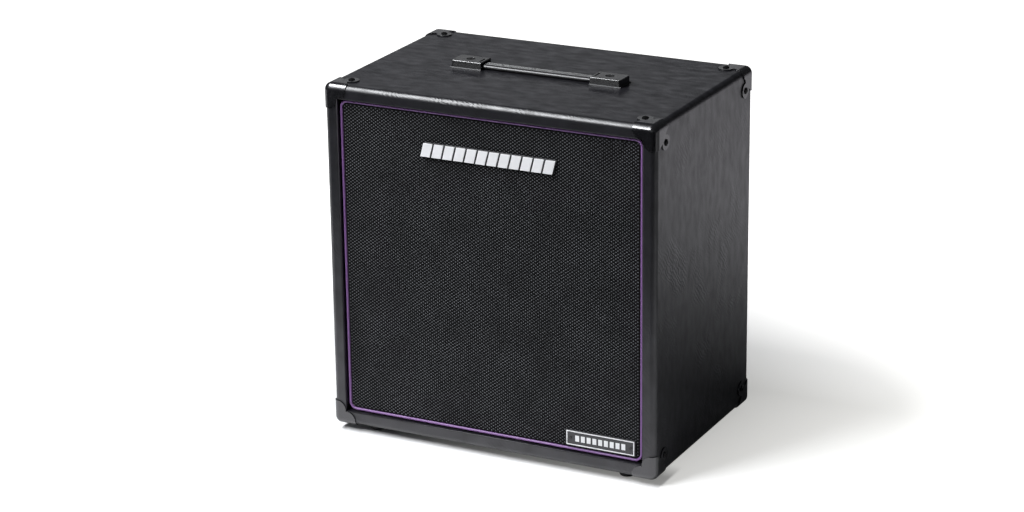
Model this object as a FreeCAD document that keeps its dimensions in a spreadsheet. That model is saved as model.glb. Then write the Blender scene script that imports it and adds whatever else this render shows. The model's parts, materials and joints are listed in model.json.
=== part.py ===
import FreeCAD, Part
import math
import os
import re

import Sketcher
from FreeCAD import Placement, Rotation, Vector

# A closed guitar speaker cabinet: four finger-jointed boards under a vinyl covering, a cloth grille with
# coloured piping, eight corner protectors, a strap handle, rubber feet, and one twelve-inch speaker inside.
# Millimetres. The front faces -Y, +X is the right side seen from the front, and +Z is up.
# The origin lies on the floor under the middle of the cabinet.

SIZES = [
    # The box
    ("cabinet_width", 460, "outside of the covering, side to side"),
    ("cabinet_height", 460, "outside of the covering, without the feet"),
    ("cabinet_depth", 300, "outside of the covering, front to back"),
    ("edge_radius", 8, "rounding of the covered edges"),
    ("vinyl_thickness", 1, "covering"),
    ("board_thickness", 16, "the four boards of the box"),
    ("finger_count", 15, "fingers and gaps along one corner joint, an odd number"),
    ("cleat_width", 18, "square battens that carry the baffle and the back"),
    # Feet
    ("foot_height", 10, "floor to the covering"),
    ("foot_top_radius", 13, "foot where it meets the cabinet"),
    ("foot_tip_radius", 10, "foot on the floor"),
    ("foot_well_radius", 5, "hollow for the screw head"),
    ("foot_well_depth", 5, "hollow for the screw head"),
    ("foot_inset_side", 50, "side of the cabinet to the foot's middle"),
    ("foot_inset_front", 28, "front or back of the cabinet to the foot's middle"),
    ("foot_screw_radius", 2, "screw of a foot"),
    ("foot_screw_length", 18, "below its head"),
    ("foot_screw_head_radius", 4, "screw of a foot"),
    ("foot_screw_head_height", 2.6, "screw of a foot"),
    # Grille
    ("grille_recess", 6, "front of the rim to the face of the cloth"),
    ("cloth_thickness", 0.8, "grille cloth"),
    ("frame_thickness", 12, "grille frame, front to back"),
    ("frame_rail_width", 24, "rails of the grille frame"),
    ("piping_radius", 1.6, "bead of the piping"),
    ("piping_gap", 1.5, "bead to the rim"),
    ("piping_sink", 0.5, "middle of the bead behind the face of the cloth"),
    ("piping_corner_radius", 9, "middle of the bead at a corner of the grille"),
    ("piping_tape", 0.8, "flat tape that carries the bead"),
    ("piping_tape_fit", 0.2, "bead to the side of the cloth"),
    ("grip_pad_thickness", 4, "hook-and-loop pads between grille and baffle"),
    ("grip_pad_width", 18, "hook-and-loop pads"),
    ("grip_pad_spread", 130, "middle of the grille to a pad, along a rail"),
    # Baffle and back
    ("baffle_thickness", 16, "board that carries the speaker"),
    ("baffle_clearance", 0.5, "baffle to the boards"),
    ("lining_gap", 0.5, "end of the turned-in covering to the baffle or cleat"),
    ("back_recess", 4, "back of the rim to the face of the back panel"),
    ("back_board_thickness", 12, "back panel"),
    ("back_clearance", 1.5, "covered back panel to the covered rim"),
    ("panel_screw_radius", 2, "screws of baffle and back"),
    ("panel_screw_length", 28, "below the head"),
    ("panel_screw_head_radius", 3.8, "screws of baffle and back"),
    ("panel_screw_head_height", 2.5, "screws of baffle and back"),
    ("panel_screw_spread", 150, "middle of the panel to the outer screws of the top and bottom rows"),
    ("panel_screw_rise", 75, "middle of the panel to the screws of the side rows"),
    # Badges
    ("badge_length", 185, "upper badge along its base"),
    ("badge_height", 19, "upper badge"),
    ("badge_slant", 5, "how far its top stands to the right of its base"),
    ("badge_thickness", 3, "upper badge"),
    ("badge_drop", 70, "top of the cabinet to the middle of the badge"),
    ("badge_margin", 0.6, "edge of the badge to its bars"),
    ("badge_bar_count", 12, "bars on the badge"),
    ("badge_bar_gap", 2.4, "between two bars"),
    ("badge_bar_thickness", 1.2, "bars on the badge"),
    ("plate_length", 96, "lower badge"),
    ("plate_height", 21, "lower badge"),
    ("plate_thickness", 2, "lower badge"),
    ("plate_inset_side", 77, "right side of the cabinet to the plate's middle"),
    ("plate_rise", 36.5, "bottom of the cabinet to the plate's middle"),
    ("plate_margin", 1, "edge of the plate to its border line"),
    ("plate_line_width", 1.3, "border line"),
    ("plate_line_thickness", 0.5, "raised border line and bars"),
    ("plate_bar_count", 9, "bars on the plate"),
    ("plate_bar_width", 5.4, "bars on the plate"),
    ("plate_bar_height", 8, "bars on the plate"),
    ("plate_bar_pitch", 8, "bars on the plate"),
    ("plate_pin_radius", 2, "fixing pins of the plate"),
    ("plate_pin_height", 0.9, "fixing pins of the plate"),
    ("plate_pin_inset", 6.5, "end of the plate to a pin"),
    # Corner protectors
    ("guard_thickness", 1.6, "plastic shell"),
    ("guard_leg", 31, "along an edge of the cabinet"),
    ("guard_ear_inset", 26, "faces of the cabinet to the ear's screw"),
    ("guard_ear_radius", 10, "round ear"),
    ("guard_step", 7, "edge of the cabinet to where a leg starts to narrow"),
    ("guard_waist", 14, "edge of the cabinet to the narrowest place before the ear"),
    ("guard_curve_radius", 7, "rounding of the outline on top and side"),
    ("guard_lobe_radius", 12, "round lobes on the rim"),
    ("guard_rim_margin", 0.5, "lobe to the inner edge of the rim"),
    ("guard_screw_radius", 1.7, "screw of a corner protector"),
    ("guard_screw_length", 15, "whole screw"),
    ("guard_screw_head_radius", 3.6, "countersunk head"),
    ("guard_screw_head_height", 2.2, "countersunk head"),
    # Handle
    ("handle_length", 240, "end of one cap to the end of the other"),
    ("cap_length", 43, "along the handle"),
    ("cap_width", 29, "across the handle"),
    ("cap_height", 10, "above the cabinet"),
    ("cap_wall", 2, "shell of a cap"),
    ("cap_corner", 2.5, "cut-off outer corners"),
    ("cap_edge_radius", 1.2, "rounding of the cap's top edges"),
    ("cap_well_radius", 5.75, "round recess for the screw head"),
    ("cap_well_depth", 1, "round recess for the screw head"),
    ("cap_boss_radius", 4.5, "post round the screw"),
    ("cap_groove_length", 16, "cross groove near the mouth"),
    ("cap_groove_width", 2.5, "cross groove near the mouth"),
    ("cap_groove_depth", 0.8, "cross groove near the mouth"),
    ("cap_groove_inset", 4.5, "mouth of the cap to the groove's middle"),
    ("handle_screw_radius", 2.5, "machine screw"),
    ("handle_screw_head_radius", 4.5, "machine screw"),
    ("handle_screw_head_height", 2.2, "machine screw"),
    ("t_nut_flange_radius", 9, "flange under the top board"),
    ("t_nut_flange_thickness", 1.5, "flange under the top board"),
    ("t_nut_barrel_radius", 3.6, "barrel in the top board"),
    ("t_nut_barrel_length", 10, "barrel in the top board"),
    ("strap_width", 20, "across the handle"),
    ("strap_thickness", 4.2, "strap"),
    ("strap_gap", 2.3, "cabinet to the underside of the strap"),
    ("strap_mouth_gap", 2.5, "mouth of the cap to the outer bend"),
    ("strap_draw", 6.75, "how far each end slides out of its cap when the strap lifts"),
    ("strap_bend_gap", 0.3, "between two lengths of the strap at a bend"),
    ("strap_slot_gap", 0.5, "slot of the strap to the post in the cap"),
    ("strap_end_gap", 3, "end of the strap to the end wall of the cap"),
    # Speaker
    ("speaker_radius", 155, "outside of the basket"),
    ("speaker_hole_radius", 142, "hole in the baffle"),
    ("bolt_circle_radius", 149, "bolts of the speaker"),
    ("bolt_count", 8, "bolts of the speaker"),
    ("bolt_radius", 2.5, "bolts of the speaker"),
    ("bolt_clearance", 0.25, "bolt to its holes"),
    ("bolt_head_radius", 4.5, "bolts of the speaker"),
    ("bolt_head_height", 2.8, "bolts of the speaker"),
    ("bolt_tail", 2, "past the nut"),
    ("nut_circumradius", 4.6, "nuts of the speaker"),
    ("nut_height", 4, "nuts of the speaker"),
    ("gasket_thickness", 4, "ring between baffle and basket"),
    ("gasket_inner_radius", 145.5, "ring between baffle and basket"),
    ("basket_sheet", 1.5, "steel of the basket"),
    ("basket_rim_radius", 138, "inside of the basket's flange"),
    ("shoulder_radius", 134, "where the basket starts to narrow"),
    ("shoulder_depth", 14, "baffle to the shoulder"),
    ("ledge_radius", 75, "outside of the ledge for the spider"),
    ("ledge_width", 13, "ledge for the spider"),
    ("ledge_depth", 56, "baffle to the ledge"),
    ("cup_radius", 57, "floor of the basket"),
    ("cup_hole_radius", 30, "hole in the floor of the basket"),
    ("basket_depth", 76, "baffle to the floor of the basket"),
    ("window_count", 8, "openings in the basket"),
    ("window_inner_radius", 84, "openings in the basket"),
    ("window_outer_radius", 124, "openings in the basket"),
    ("window_half_angle", 15, "degrees"),
    ("front_plate_radius", 60, "steel plate in front of the magnet"),
    ("front_plate_thickness", 8, "steel plate in front of the magnet"),
    ("magnet_radius", 70, "ferrite ring"),
    ("magnet_hole_radius", 38, "ferrite ring"),
    ("magnet_thickness", 18, "ferrite ring"),
    ("yoke_radius", 60, "back plate"),
    ("yoke_thickness", 8, "back plate"),
    ("pole_radius", 21.6, "pole inside the coil"),
    ("coil_clearance", 0.4, "coil to pole, and coil to front plate"),
    ("former_wall", 0.4, "tube that carries the winding"),
    ("winding_thickness", 0.5, "copper winding"),
    ("winding_overhang", 1, "winding past each face of the front plate"),
    ("former_tail", 1.5, "tube past the winding"),
    ("cone_radius", 126, "edge of the cone"),
    ("cone_edge_depth", 6, "baffle to the cone's edge"),
    ("cone_neck_depth", 50, "baffle to the cone's neck"),
    ("cone_paper", 1.2, "cone"),
    ("surround_sheet", 0.6, "edge roll of the cone"),
    ("surround_gap", 0.3, "edge roll to the cone"),
    ("surround_seat_width", 5, "flat landing on the flange"),
    ("surround_wave", 2.2, "height of the rolls"),
    ("spider_sheet", 0.6, "corrugated disc behind the cone"),
    ("spider_gap", 0.3, "corrugated disc to the coil's tube"),
    ("spider_wave", 1.6, "height of the corrugations"),
    ("spider_wave_count", 5, "corrugations"),
    ("dome_radius", 36, "dust cap"),
    ("dome_height", 12, "dust cap"),
    ("dome_paper", 0.8, "dust cap"),
    ("dome_gap", 0.2, "dust cap to the cone"),
    ("terminal_width", 30, "terminal block on the basket"),
    ("terminal_height", 12, "terminal block on the basket"),
    ("terminal_thickness", 6, "terminal block on the basket"),
    ("terminal_gap", 0.4, "terminal block to the wall of the basket's cup"),
    ("tab_spread", 8, "middle of the block to a tab"),
    ("tab_width", 4.8, "terminal tabs"),
    ("tab_thickness", 0.8, "terminal tabs"),
    ("tab_length", 9, "terminal tabs"),
    # Jack plate and wiring
    ("jack_plate_width", 100, "plate on the back panel"),
    ("jack_plate_height", 50, "plate on the back panel"),
    ("jack_plate_thickness", 1.5, "plate on the back panel"),
    ("jack_plate_corner", 4, "corners of the plate"),
    ("jack_rise", 75, "bottom of the cabinet to the jacks"),
    ("jack_spread", 20, "middle of the plate to a jack"),
    ("jack_bore_radius", 3.25, "hole for a 6.35 mm plug"),
    ("jack_bore_length", 10, "length of the close hole"),
    ("jack_body_width", 22, "housing"),
    ("jack_body_length", 32, "housing, behind the plate"),
    ("jack_body_wall", 2, "end wall of the housing"),
    ("jack_cavity_radius", 5.5, "inside of the housing"),
    ("bushing_radius", 4.7, "threaded neck"),
    ("bushing_clearance", 0.15, "neck to the plate"),
    ("bushing_proud", 0.6, "neck past the nut"),
    ("jack_nut_circumradius", 7.4, "nut of a jack"),
    ("jack_nut_height", 2.2, "nut of a jack"),
    ("jack_cutout_margin", 2, "housings to the cut-out in the back panel"),
    ("jack_screw_inset", 6, "edges of the plate to its screws"),
    ("jack_screw_radius", 1.6, "screws of the plate"),
    ("jack_screw_length", 11, "below the head"),
    ("jack_screw_head_radius", 3.2, "screws of the plate"),
    ("jack_screw_head_height", 1.8, "screws of the plate"),
    ("lug_spread", 7, "middle of a jack to a lug"),
    ("lug_width", 4, "solder lugs"),
    ("lug_thickness", 0.8, "solder lugs"),
    ("lug_length", 8, "solder lugs"),
    ("wire_radius", 1.2, "speaker wires"),
    ("wire_pitch", 5, "between the two wires in their clip"),
    ("lead_radius", 0.7, "tinsel leads to the cone"),
    ("lead_gap", 0.3, "tinsel leads to the cone"),
    ("lead_landing_radius", 88, "where the tinsel leads meet the cone"),
    ("lead_drop", 12, "straight run of a lead below the terminal block"),
    ("lead_hang", 22, "lowest corner of a lead below the terminal block"),
    ("lead_reach", 12, "lowest corner of a lead in front of the terminal block"),
    ("wire_run_out", 25, "straight run of a wire from its lug"),
    ("wire_rise", 70, "straight run of a wire up to its tab"),
    ("clip_run", 30, "corners of a wire before and after its clip"),
    ("clip_length", 10, "along the wires"),
    ("clip_width", 20, "across the wires"),
    ("clip_height", 8, "above the bottom board"),
    ("clip_clearance", 0.2, "wire to its clip"),
]

# Places and sizes that follow from the sizes above
DERIVED = {
    "side": "cabinet_width / 2",
    "back": "cabinet_depth / 2",
    "front": "-cabinet_depth / 2",
    "bottom": "foot_height",
    "top": "foot_height + cabinet_height",
    "middle": "foot_height + cabinet_height / 2",
    "rim_width": "2 * vinyl_thickness + board_thickness",
    "inner_x": "side - vinyl_thickness - board_thickness",
    "inner_z": "cabinet_height / 2 - vinyl_thickness - board_thickness",
    "lining_x": "inner_x - vinyl_thickness",
    "lining_z": "inner_z - vinyl_thickness",
    "floor_board_top": "bottom + vinyl_thickness + board_thickness",
    "cloth_front": "front + grille_recess",
    "frame_front": "cloth_front + cloth_thickness",
    "frame_back": "frame_front + frame_thickness",
    "baffle_front": "frame_back + grip_pad_thickness",
    "baffle_back": "baffle_front + baffle_thickness",
    "back_face": "back - back_recess",
    "back_board_back": "back_face - vinyl_thickness",
    "back_board_front": "back_board_back - back_board_thickness",
    "back_panel_x": "lining_x - back_clearance - vinyl_thickness",
    "back_panel_z": "lining_z - back_clearance - vinyl_thickness",
    "piping_x": "lining_x - piping_gap - piping_radius",
    "piping_z": "lining_z - piping_gap - piping_radius",
    "piping_y": "cloth_front + piping_sink",
    "cloth_inset": "piping_radius + piping_tape_fit",
    "cloth_corner": "piping_corner_radius - cloth_inset",
    "cloth_x": "piping_x - cloth_inset",
    "cloth_z": "piping_z - cloth_inset",
    "frame_x": "cloth_x - cloth_thickness",
    "frame_z": "cloth_z - cloth_thickness",
    "badge_z": "top - badge_drop",
    "badge_pitch": "(badge_length - 2 * badge_margin + badge_bar_gap) / badge_bar_count",
    "plate_x": "side - plate_inset_side",
    "plate_z": "bottom + plate_rise",
    "guard_band": "edge_radius + guard_thickness",
    "guard_lobe_across": "rim_width - guard_rim_margin - guard_lobe_radius",
    "guard_lobe_along": "guard_leg - guard_lobe_radius",
    "cap_mouth": "handle_length / 2 - cap_length",
    "cap_ceiling": "top + cap_height - cap_wall",
    "handle_screw_x": "handle_length / 2 - cap_length / 2",
    "handle_screw_seat": "top + cap_height - cap_well_depth",
    "top_board_under": "top - vinyl_thickness - board_thickness",
    "strap_under": "top + strap_gap",
    "strap_over": "strap_under + strap_thickness",
    "strap_z": "strap_under + strap_thickness / 2",
    "outer_bend": "cap_mouth - strap_mouth_gap",
    # The free strap bends at its thirds
    "inner_bend": "outer_bend / 3",
    "strap_end": "handle_length / 2 - cap_wall - strap_end_gap",
    "strap_slot": "cap_boss_radius + strap_slot_gap",
    "flange_back": "gasket_thickness + basket_sheet",
    "ledge_inner": "ledge_radius - ledge_width",
    "front_plate_front": "basket_depth + basket_sheet",
    "magnet_front": "front_plate_front + front_plate_thickness",
    "yoke_front": "magnet_front + magnet_thickness",
    "former_inner": "pole_radius + coil_clearance",
    "former_outer": "former_inner + former_wall",
    "winding_outer": "former_outer + winding_thickness",
    "winding_front": "front_plate_front - winding_overhang",
    "winding_back": "magnet_front + winding_overhang",
    "cone_slope": "(cone_neck_depth - cone_edge_depth) / (cone_radius - former_outer)",
    "dome_seat": "cone_neck_depth - (dome_radius - former_outer) * cone_slope - dome_gap",
    "dome_curve": "(dome_radius ^ 2 + dome_height ^ 2) / (2 * dome_height)",
    "surround_outer": "basket_rim_radius + surround_seat_width",
    "surround_inner": "cone_radius + surround_gap",
    "spider_inner": "former_outer + spider_gap",
    "spider_step": "(ledge_inner - spider_inner) / (2 * spider_wave_count)",
    "terminal_front": "baffle_back + ledge_depth + basket_sheet",
    "terminal_back": "terminal_front + terminal_thickness",
    "terminal_top": "middle - ledge_inner - basket_sheet - terminal_gap",
    "terminal_under": "terminal_top - terminal_height",
    "tab_z": "terminal_top - terminal_height / 2",
    "jack_z": "bottom + jack_rise",
    "jack_plate_back": "back_face + jack_plate_thickness",
    "bushing_end": "jack_plate_back + jack_nut_height + bushing_proud",
    "jack_body_front": "back_face - jack_body_length",
    "lug_end": "jack_body_front - lug_length",
}

DIRECTIONS = {
    "+X": Vector(1, 0, 0),
    "-X": Vector(-1, 0, 0),
    "+Y": Vector(0, 1, 0),
    "-Y": Vector(0, -1, 0),
    "+Z": Vector(0, 0, 1),
    "-Z": Vector(0, 0, -1),
}

doc = FreeCAD.newDocument("speaker_cabinet")
sheet = doc.addObject("Spreadsheet::Sheet", "sizes")
for row, (size_name, value, meaning) in enumerate(SIZES, 1):
    sheet.set(f"A{row}", str(value))
    sheet.setAlias(f"A{row}", size_name)
    sheet.set(f"B{row}", meaning)
doc.recompute()
SIZE_NAMES = {size_name for size_name, value, meaning in SIZES}
nodes = []


def formula(text):
    """A length written in the names above, as an expression on the cells of the sheet."""

    def spell(match):
        word = match.group(0)
        if word in DERIVED:
            return "(" + formula(DERIVED[word]) + ")"
        return "sizes." + word if word in SIZE_NAMES else word

    return re.sub(r"[a-z][a-z_]*", spell, text)


def count(size_name):
    """A whole number of repeats from the sheet."""
    return int(round(sheet.get(size_name)))


def bind(item, prop, text):
    item.setExpression(prop, formula(text))


def place(item, at, direction="+Z"):
    """Turns the item's own +Z to the direction and moves its origin to a point given by formulas."""
    item.Placement = Placement(Vector(), Rotation(Vector(0, 0, 1), DIRECTIONS[direction]))
    for letter, text in zip("xyz", at):
        bind(item, "Placement.Base." + letter, text)
    return item


def both(half, centre="0"):
    """Low and high formulas at equal distances from a centre."""
    return f"({centre}) - ({half})", f"({centre}) + ({half})"


def block(name, x, y, z):
    """A box between a low and a high formula on each axis."""
    item = doc.addObject("Part::Box", name)
    for prop, (low, high) in zip(("Length", "Width", "Height"), (x, y, z)):
        bind(item, prop, f"({high}) - ({low})")
    return place(item, (x[0], y[0], z[0]))


def rod(name, radius, length, at, direction="+Z"):
    item = doc.addObject("Part::Cylinder", name)
    bind(item, "Radius", radius)
    bind(item, "Height", length)
    return place(item, at, direction)


def cone(name, start_radius, end_radius, length, at, direction="+Z"):
    item = doc.addObject("Part::Cone", name)
    bind(item, "Radius1", start_radius)
    bind(item, "Radius2", end_radius)
    bind(item, "Height", length)
    return place(item, at, direction)


def hexagon(name, circumradius, length, at, direction="+Z"):
    item = doc.addObject("Part::Prism", name)
    item.Polygon = 6
    bind(item, "Circumradius", circumradius)
    bind(item, "Height", length)
    return place(item, at, direction)


def group(name, *items):
    """Separate solids under one name."""
    item = doc.addObject("Part::Compound", name)
    item.Links = list(items)
    return item


def fuse(name, *items):
    item = doc.addObject("Part::MultiFuse", name)
    item.Shapes = list(items)
    return item


def cut(name, base, *tools):
    item = doc.addObject("Part::Cut", name)
    item.Base = base
    item.Tool = tools[0] if len(tools) == 1 else group(name + "_tools", *tools)
    return item


def common(name, base, tool):
    item = doc.addObject("Part::Common", name)
    item.Base = base
    item.Tool = tool
    return item


def mirrored(name, source, letter):
    """The source on the other side of the cabinet's middle plane across X, Y or Z."""
    item = doc.addObject("Part::Mirroring", name)
    item.Source = source
    item.Normal = DIRECTIONS["+" + letter.upper()]
    if letter == "z":
        bind(item, "Base.z", "middle")
    return item


def with_mirrors(name, source, letters):
    """The source and its mirror images across each of the letters' planes, as one group."""
    for letter in letters:
        source = group(f"{name}_{letter}", source, mirrored(f"{name}_{letter}_image", source, letter))
    return source


def outline(body, role, points):
    """A closed sketch of straight lines through points given by formulas, on a plane of the body."""
    sketch = body.newObject("Sketcher::SketchObject", body.Name + "_outline")
    plane = next(item for item in body.Origin.OriginFeatures if item.Role == role)
    sketch.AttachmentSupport = [(plane, "")]
    sketch.MapMode = "FlatFace"
    turn = 2 * math.pi / len(points)
    guesses = [Vector(math.cos(turn * index), math.sin(turn * index), 0) for index in range(len(points))]
    for index, guess in enumerate(guesses):
        sketch.addGeometry(Part.LineSegment(guess, guesses[(index + 1) % len(points)]), False)
    for index in range(len(points)):
        sketch.addConstraint(Sketcher.Constraint("Coincident", index, 2, (index + 1) % len(points), 1))
    for index, (across, up) in enumerate(points):
        guess = guesses[index]
        for kind, axis, text, now in (("DistanceX", -2, across, guess.x), ("DistanceY", -1, up, guess.y)):
            if text == "0":
                sketch.addConstraint(Sketcher.Constraint("PointOnObject", index, 1, axis))
            else:
                number = sketch.addConstraint(Sketcher.Constraint(kind, -1, 1, index, 1, now))
                bind(sketch, f"Constraints[{number}]", text)
    return sketch


def turned(name, points, at, direction="+Z"):
    """A solid of revolution from (radius, height) points about the body's own Z axis."""
    body = doc.addObject("PartDesign::Body", name)
    sketch = outline(body, "XZ_Plane", points)
    turn = body.newObject("PartDesign::Revolution", name + "_turn")
    turn.Profile = sketch
    turn.ReferenceAxis = (sketch, ["V_Axis"])
    turn.Angle = 360
    return place(body, at, direction)


def prism(name, role, points, length, at, corner_radius=None, direction="+Z"):
    """An outline on the XY plane raised along +Z, or on the XZ plane raised along -Y, corners rounded.
    The direction is where the finished body's own +Z points."""
    body = doc.addObject("PartDesign::Body", name)
    pad = body.newObject("PartDesign::Pad", name + "_pad")
    pad.Profile = outline(body, role, points)
    bind(pad, "Length", length)
    if corner_radius:
        doc.recompute()
        along = DIRECTIONS["+Z" if role == "XY_Plane" else "+Y"]
        edges = pad.Shape.Edges
        upright = [index for index, edge in enumerate(edges, 1) if abs(edge.tangentAt(0).dot(along)) > 0.9]
        round_off(body, pad, upright, corner_radius)
    return place(body, at, direction)


def round_off(body, feature, edge_numbers, radius):
    fillet = body.newObject("PartDesign::Fillet", feature.Name + "_round")
    fillet.Base = (feature, [f"Edge{number}" for number in edge_numbers])
    bind(fillet, "Radius", radius)
    return fillet


def rectangle(half_across, half_up):
    return [
        (f"-({half_across})", f"-({half_up})"),
        (half_across, f"-({half_up})"),
        (half_across, half_up),
        (f"-({half_across})", half_up),
    ]


def rounded_block(name, grow, radius):
    """The whole cabinet's block, grown by a formula on every side, with all its edges rounded."""
    body = doc.addObject("PartDesign::Body", name)
    pad = body.newObject("PartDesign::Pad", name + "_pad")
    pad.Profile = outline(body, "XY_Plane", rectangle(f"side + ({grow})", f"back + ({grow})"))
    bind(pad, "Length", f"cabinet_height + 2 * ({grow})")
    doc.recompute()
    round_off(body, pad, range(1, len(pad.Shape.Edges) + 1), radius)
    return place(body, ("0", "0", f"bottom - ({grow})"))


def pan_screw(name, head_radius, head_height, radius, length, at, direction):
    """A pan-head screw: its head stands on the point, and its shank goes the other way."""
    head = rod(name + "_head", head_radius, head_height, at, direction)
    back_way = direction.translate(str.maketrans("+-", "-+"))
    shank = rod(name + "_shank", radius, length, at, back_way)
    return fuse(name, head, shank)


def node(item, label):
    item.Label = label
    nodes.append(item)
    return item


# Screws of the corner protectors, first at the right front top corner

def guard_screw(name, at, direction):
    """A countersunk screw that goes in along the direction, with its head flush at the point."""
    head = cone(
        name + "_head",
        "guard_screw_head_radius",
        "guard_screw_radius",
        "guard_screw_head_height",
        at,
        direction,
    )
    shank = rod(name + "_shank", "guard_screw_radius", "guard_screw_length", at, direction)
    return fuse(name, head, shank)


ear_x = "side - guard_ear_inset"
ear_y = "front + guard_ear_inset"
ear_z = "top - guard_ear_inset"
top_guard_screw = guard_screw("top_guard_screw", (ear_x, ear_y, "top + guard_thickness"), "-Z")
side_guard_screw = guard_screw("side_guard_screw", ("side + guard_thickness", ear_y, ear_z), "-X")
guard_screw_pair = group("guard_screw_pair", top_guard_screw, side_guard_screw)
guard_screws = with_mirrors("guard_screws", guard_screw_pair, "xyz")
node(guard_screws, "corner_screws")

# Screws of the feet

foot_x = "side - foot_inset_side"
foot_y = "front + foot_inset_front"
foot_seat = "foot_well_depth"
foot_screw = pan_screw(
    "foot_screw",
    "foot_screw_head_radius",
    "foot_screw_head_height",
    "foot_screw_radius",
    "foot_screw_length",
    (foot_x, foot_y, foot_seat),
    "-Z",
)
foot_screws = node(with_mirrors("foot_screws", foot_screw, "xy"), "foot_screws")

# Feet

foot = cut(
    "foot",
    turned(
        "foot_blank",
        [
            ("0", "foot_well_depth"),
            ("foot_well_radius", "foot_well_depth"),
            ("foot_well_radius", "0"),
            ("foot_tip_radius", "0"),
            ("foot_top_radius", "foot_height"),
            ("0", "foot_height"),
        ],
        (foot_x, foot_y, "0"),
    ),
    foot_screw,
)
node(with_mirrors("feet", foot, "xy"), "rubber_feet")

# Handle screws and their T-nuts in the top board

handle_screw_length = "handle_screw_seat - top_board_under + t_nut_flange_thickness"
handle_screw = pan_screw(
    "handle_screw",
    "handle_screw_head_radius",
    "handle_screw_head_height",
    "handle_screw_radius",
    handle_screw_length,
    ("handle_screw_x", "0", "handle_screw_seat"),
    "+Z",
)
handle_screws = node(with_mirrors("handle_screws", handle_screw, "x"), "handle_screws")
t_nut_base = ("handle_screw_x", "0", "top_board_under - t_nut_flange_thickness")
t_nut_length = "t_nut_flange_thickness + t_nut_barrel_length"
t_nut = cut(
    "t_nut",
    fuse(
        "t_nut_blank",
        rod("t_nut_flange", "t_nut_flange_radius", "t_nut_flange_thickness", t_nut_base),
        rod("t_nut_barrel", "t_nut_barrel_radius", t_nut_length, t_nut_base),
    ),
    handle_screw,
)
t_nuts = node(with_mirrors("t_nuts", t_nut, "x"), "handle_t_nuts")

# Boards of the box, with finger joints where the sides meet top and bottom

carcass_block = rounded_block("carcass_block", "-vinyl_thickness", "edge_radius - vinyl_thickness")
skin_block = rounded_block("skin_block", "0", "edge_radius")
board_x = "side - vinyl_thickness"
board_y = both("back - vinyl_thickness")
finger = "(cabinet_depth - 2 * vinyl_thickness) / finger_count"
finger_gaps = with_mirrors(
    "finger_gaps",
    group(
        "right_finger_gaps",
        *[
            block(
                f"finger_gap_{index}",
                ("inner_x", "side"),
                (f"{board_y[0]} + {index} * {finger}", f"{board_y[0]} + {index + 1} * {finger}"),
                ("top_board_under", "top"),
            )
            for index in range(1, count("finger_count"), 2)
        ],
    ),
    "x",
)
top_blank = block("top_blank", both(board_x), board_y, ("top_board_under", "top - vinyl_thickness"))
top_board = cut("top_board", common("top_board_round", top_blank, carcass_block), finger_gaps)
bottom_board = mirrored("bottom_board", top_board, "z")
board_z = both("cabinet_height / 2 - vinyl_thickness", "middle")
side_blank = block("side_blank", ("inner_x", board_x), board_y, board_z)
side_round = common("side_board_round", side_blank, carcass_block)
side_board = cut("side_board", side_round, top_board, bottom_board)
node(cut("top_panel", top_board, guard_screws, handle_screws, t_nuts), "top_panel")
node(cut("bottom_panel", bottom_board, guard_screws, foot_screws), "bottom_panel")
node(cut("right_panel", side_board, guard_screws), "right_side_panel")
node(cut("left_panel", mirrored("left_board", side_board, "x"), guard_screws), "left_side_panel")

# Vinyl covering, turned in at the front as far as the baffle and at the back as far as the cleats

covering_shell = cut(
    "covering_shell",
    skin_block,
    carcass_block,
    block("covering_opening", both("lining_x"), both("cabinet_depth"), both("lining_z", "middle")),
)


def lining(name, y):
    """The covering on the inner faces of the rim, between two depths."""
    outer = block(name + "_outer", both("inner_x"), y, both("inner_z", "middle"))
    inner = block(name + "_inner", both("lining_x"), both("cabinet_depth"), both("lining_z", "middle"))
    return cut(name, outer, inner)


covering = fuse(
    "covering",
    covering_shell,
    lining("front_lining", ("front + vinyl_thickness", "baffle_front - lining_gap")),
    lining("back_lining", ("back_board_front + lining_gap", "back - vinyl_thickness")),
)
node(cut("vinyl", covering, guard_screws, foot_screws, handle_screws), "vinyl_covering")

# Screws of the baffle and of the back panel

screw_row_x = "inner_x - cleat_width / 2"
screw_row_z = "inner_z - cleat_width / 2"


def panel_screw_set(name, y, direction):
    """Screws round a panel: three along the top, two along each side, three along the bottom."""
    places = [
        ("0", f"middle + {screw_row_z}"),
        ("panel_screw_spread", f"middle + {screw_row_z}"),
        (screw_row_x, "middle + panel_screw_rise"),
    ]
    screws = [
        pan_screw(
            f"{name}_{index}",
            "panel_screw_head_radius",
            "panel_screw_head_height",
            "panel_screw_radius",
            "panel_screw_length",
            (x, y, z),
            direction,
        )
        for index, (x, z) in enumerate(places)
    ]
    middle_row = with_mirrors(name + "_middle", screws[0], "z")
    outer_rows = with_mirrors(name + "_outer", group(name + "_right", *screws[1:]), "xz")
    return group(name, middle_row, outer_rows)


baffle_screws = panel_screw_set("baffle_screw", "baffle_front", "-Y")
back_screws = panel_screw_set("back_screw", "back_face", "+Y")
node(group("panel_screws", baffle_screws, back_screws), "panel_screws")


def cleat_frame(name, y, screws):
    """Four battens round the inside of the box, drilled for the screws of the panel that they carry."""
    top_z = ("middle + inner_z - cleat_width", "middle + inner_z")
    top_cleat = block(name + "_top", both("inner_x"), y, top_z)
    side_cleat = block(
        name + "_side", ("inner_x - cleat_width", "inner_x"), y, both("inner_z - cleat_width", "middle")
    )
    level_pair = with_mirrors(name + "_level", top_cleat, "z")
    upright_pair = with_mirrors(name + "_upright", side_cleat, "x")
    return cut(name, group(name + "_blank", level_pair, upright_pair), screws)


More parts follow.
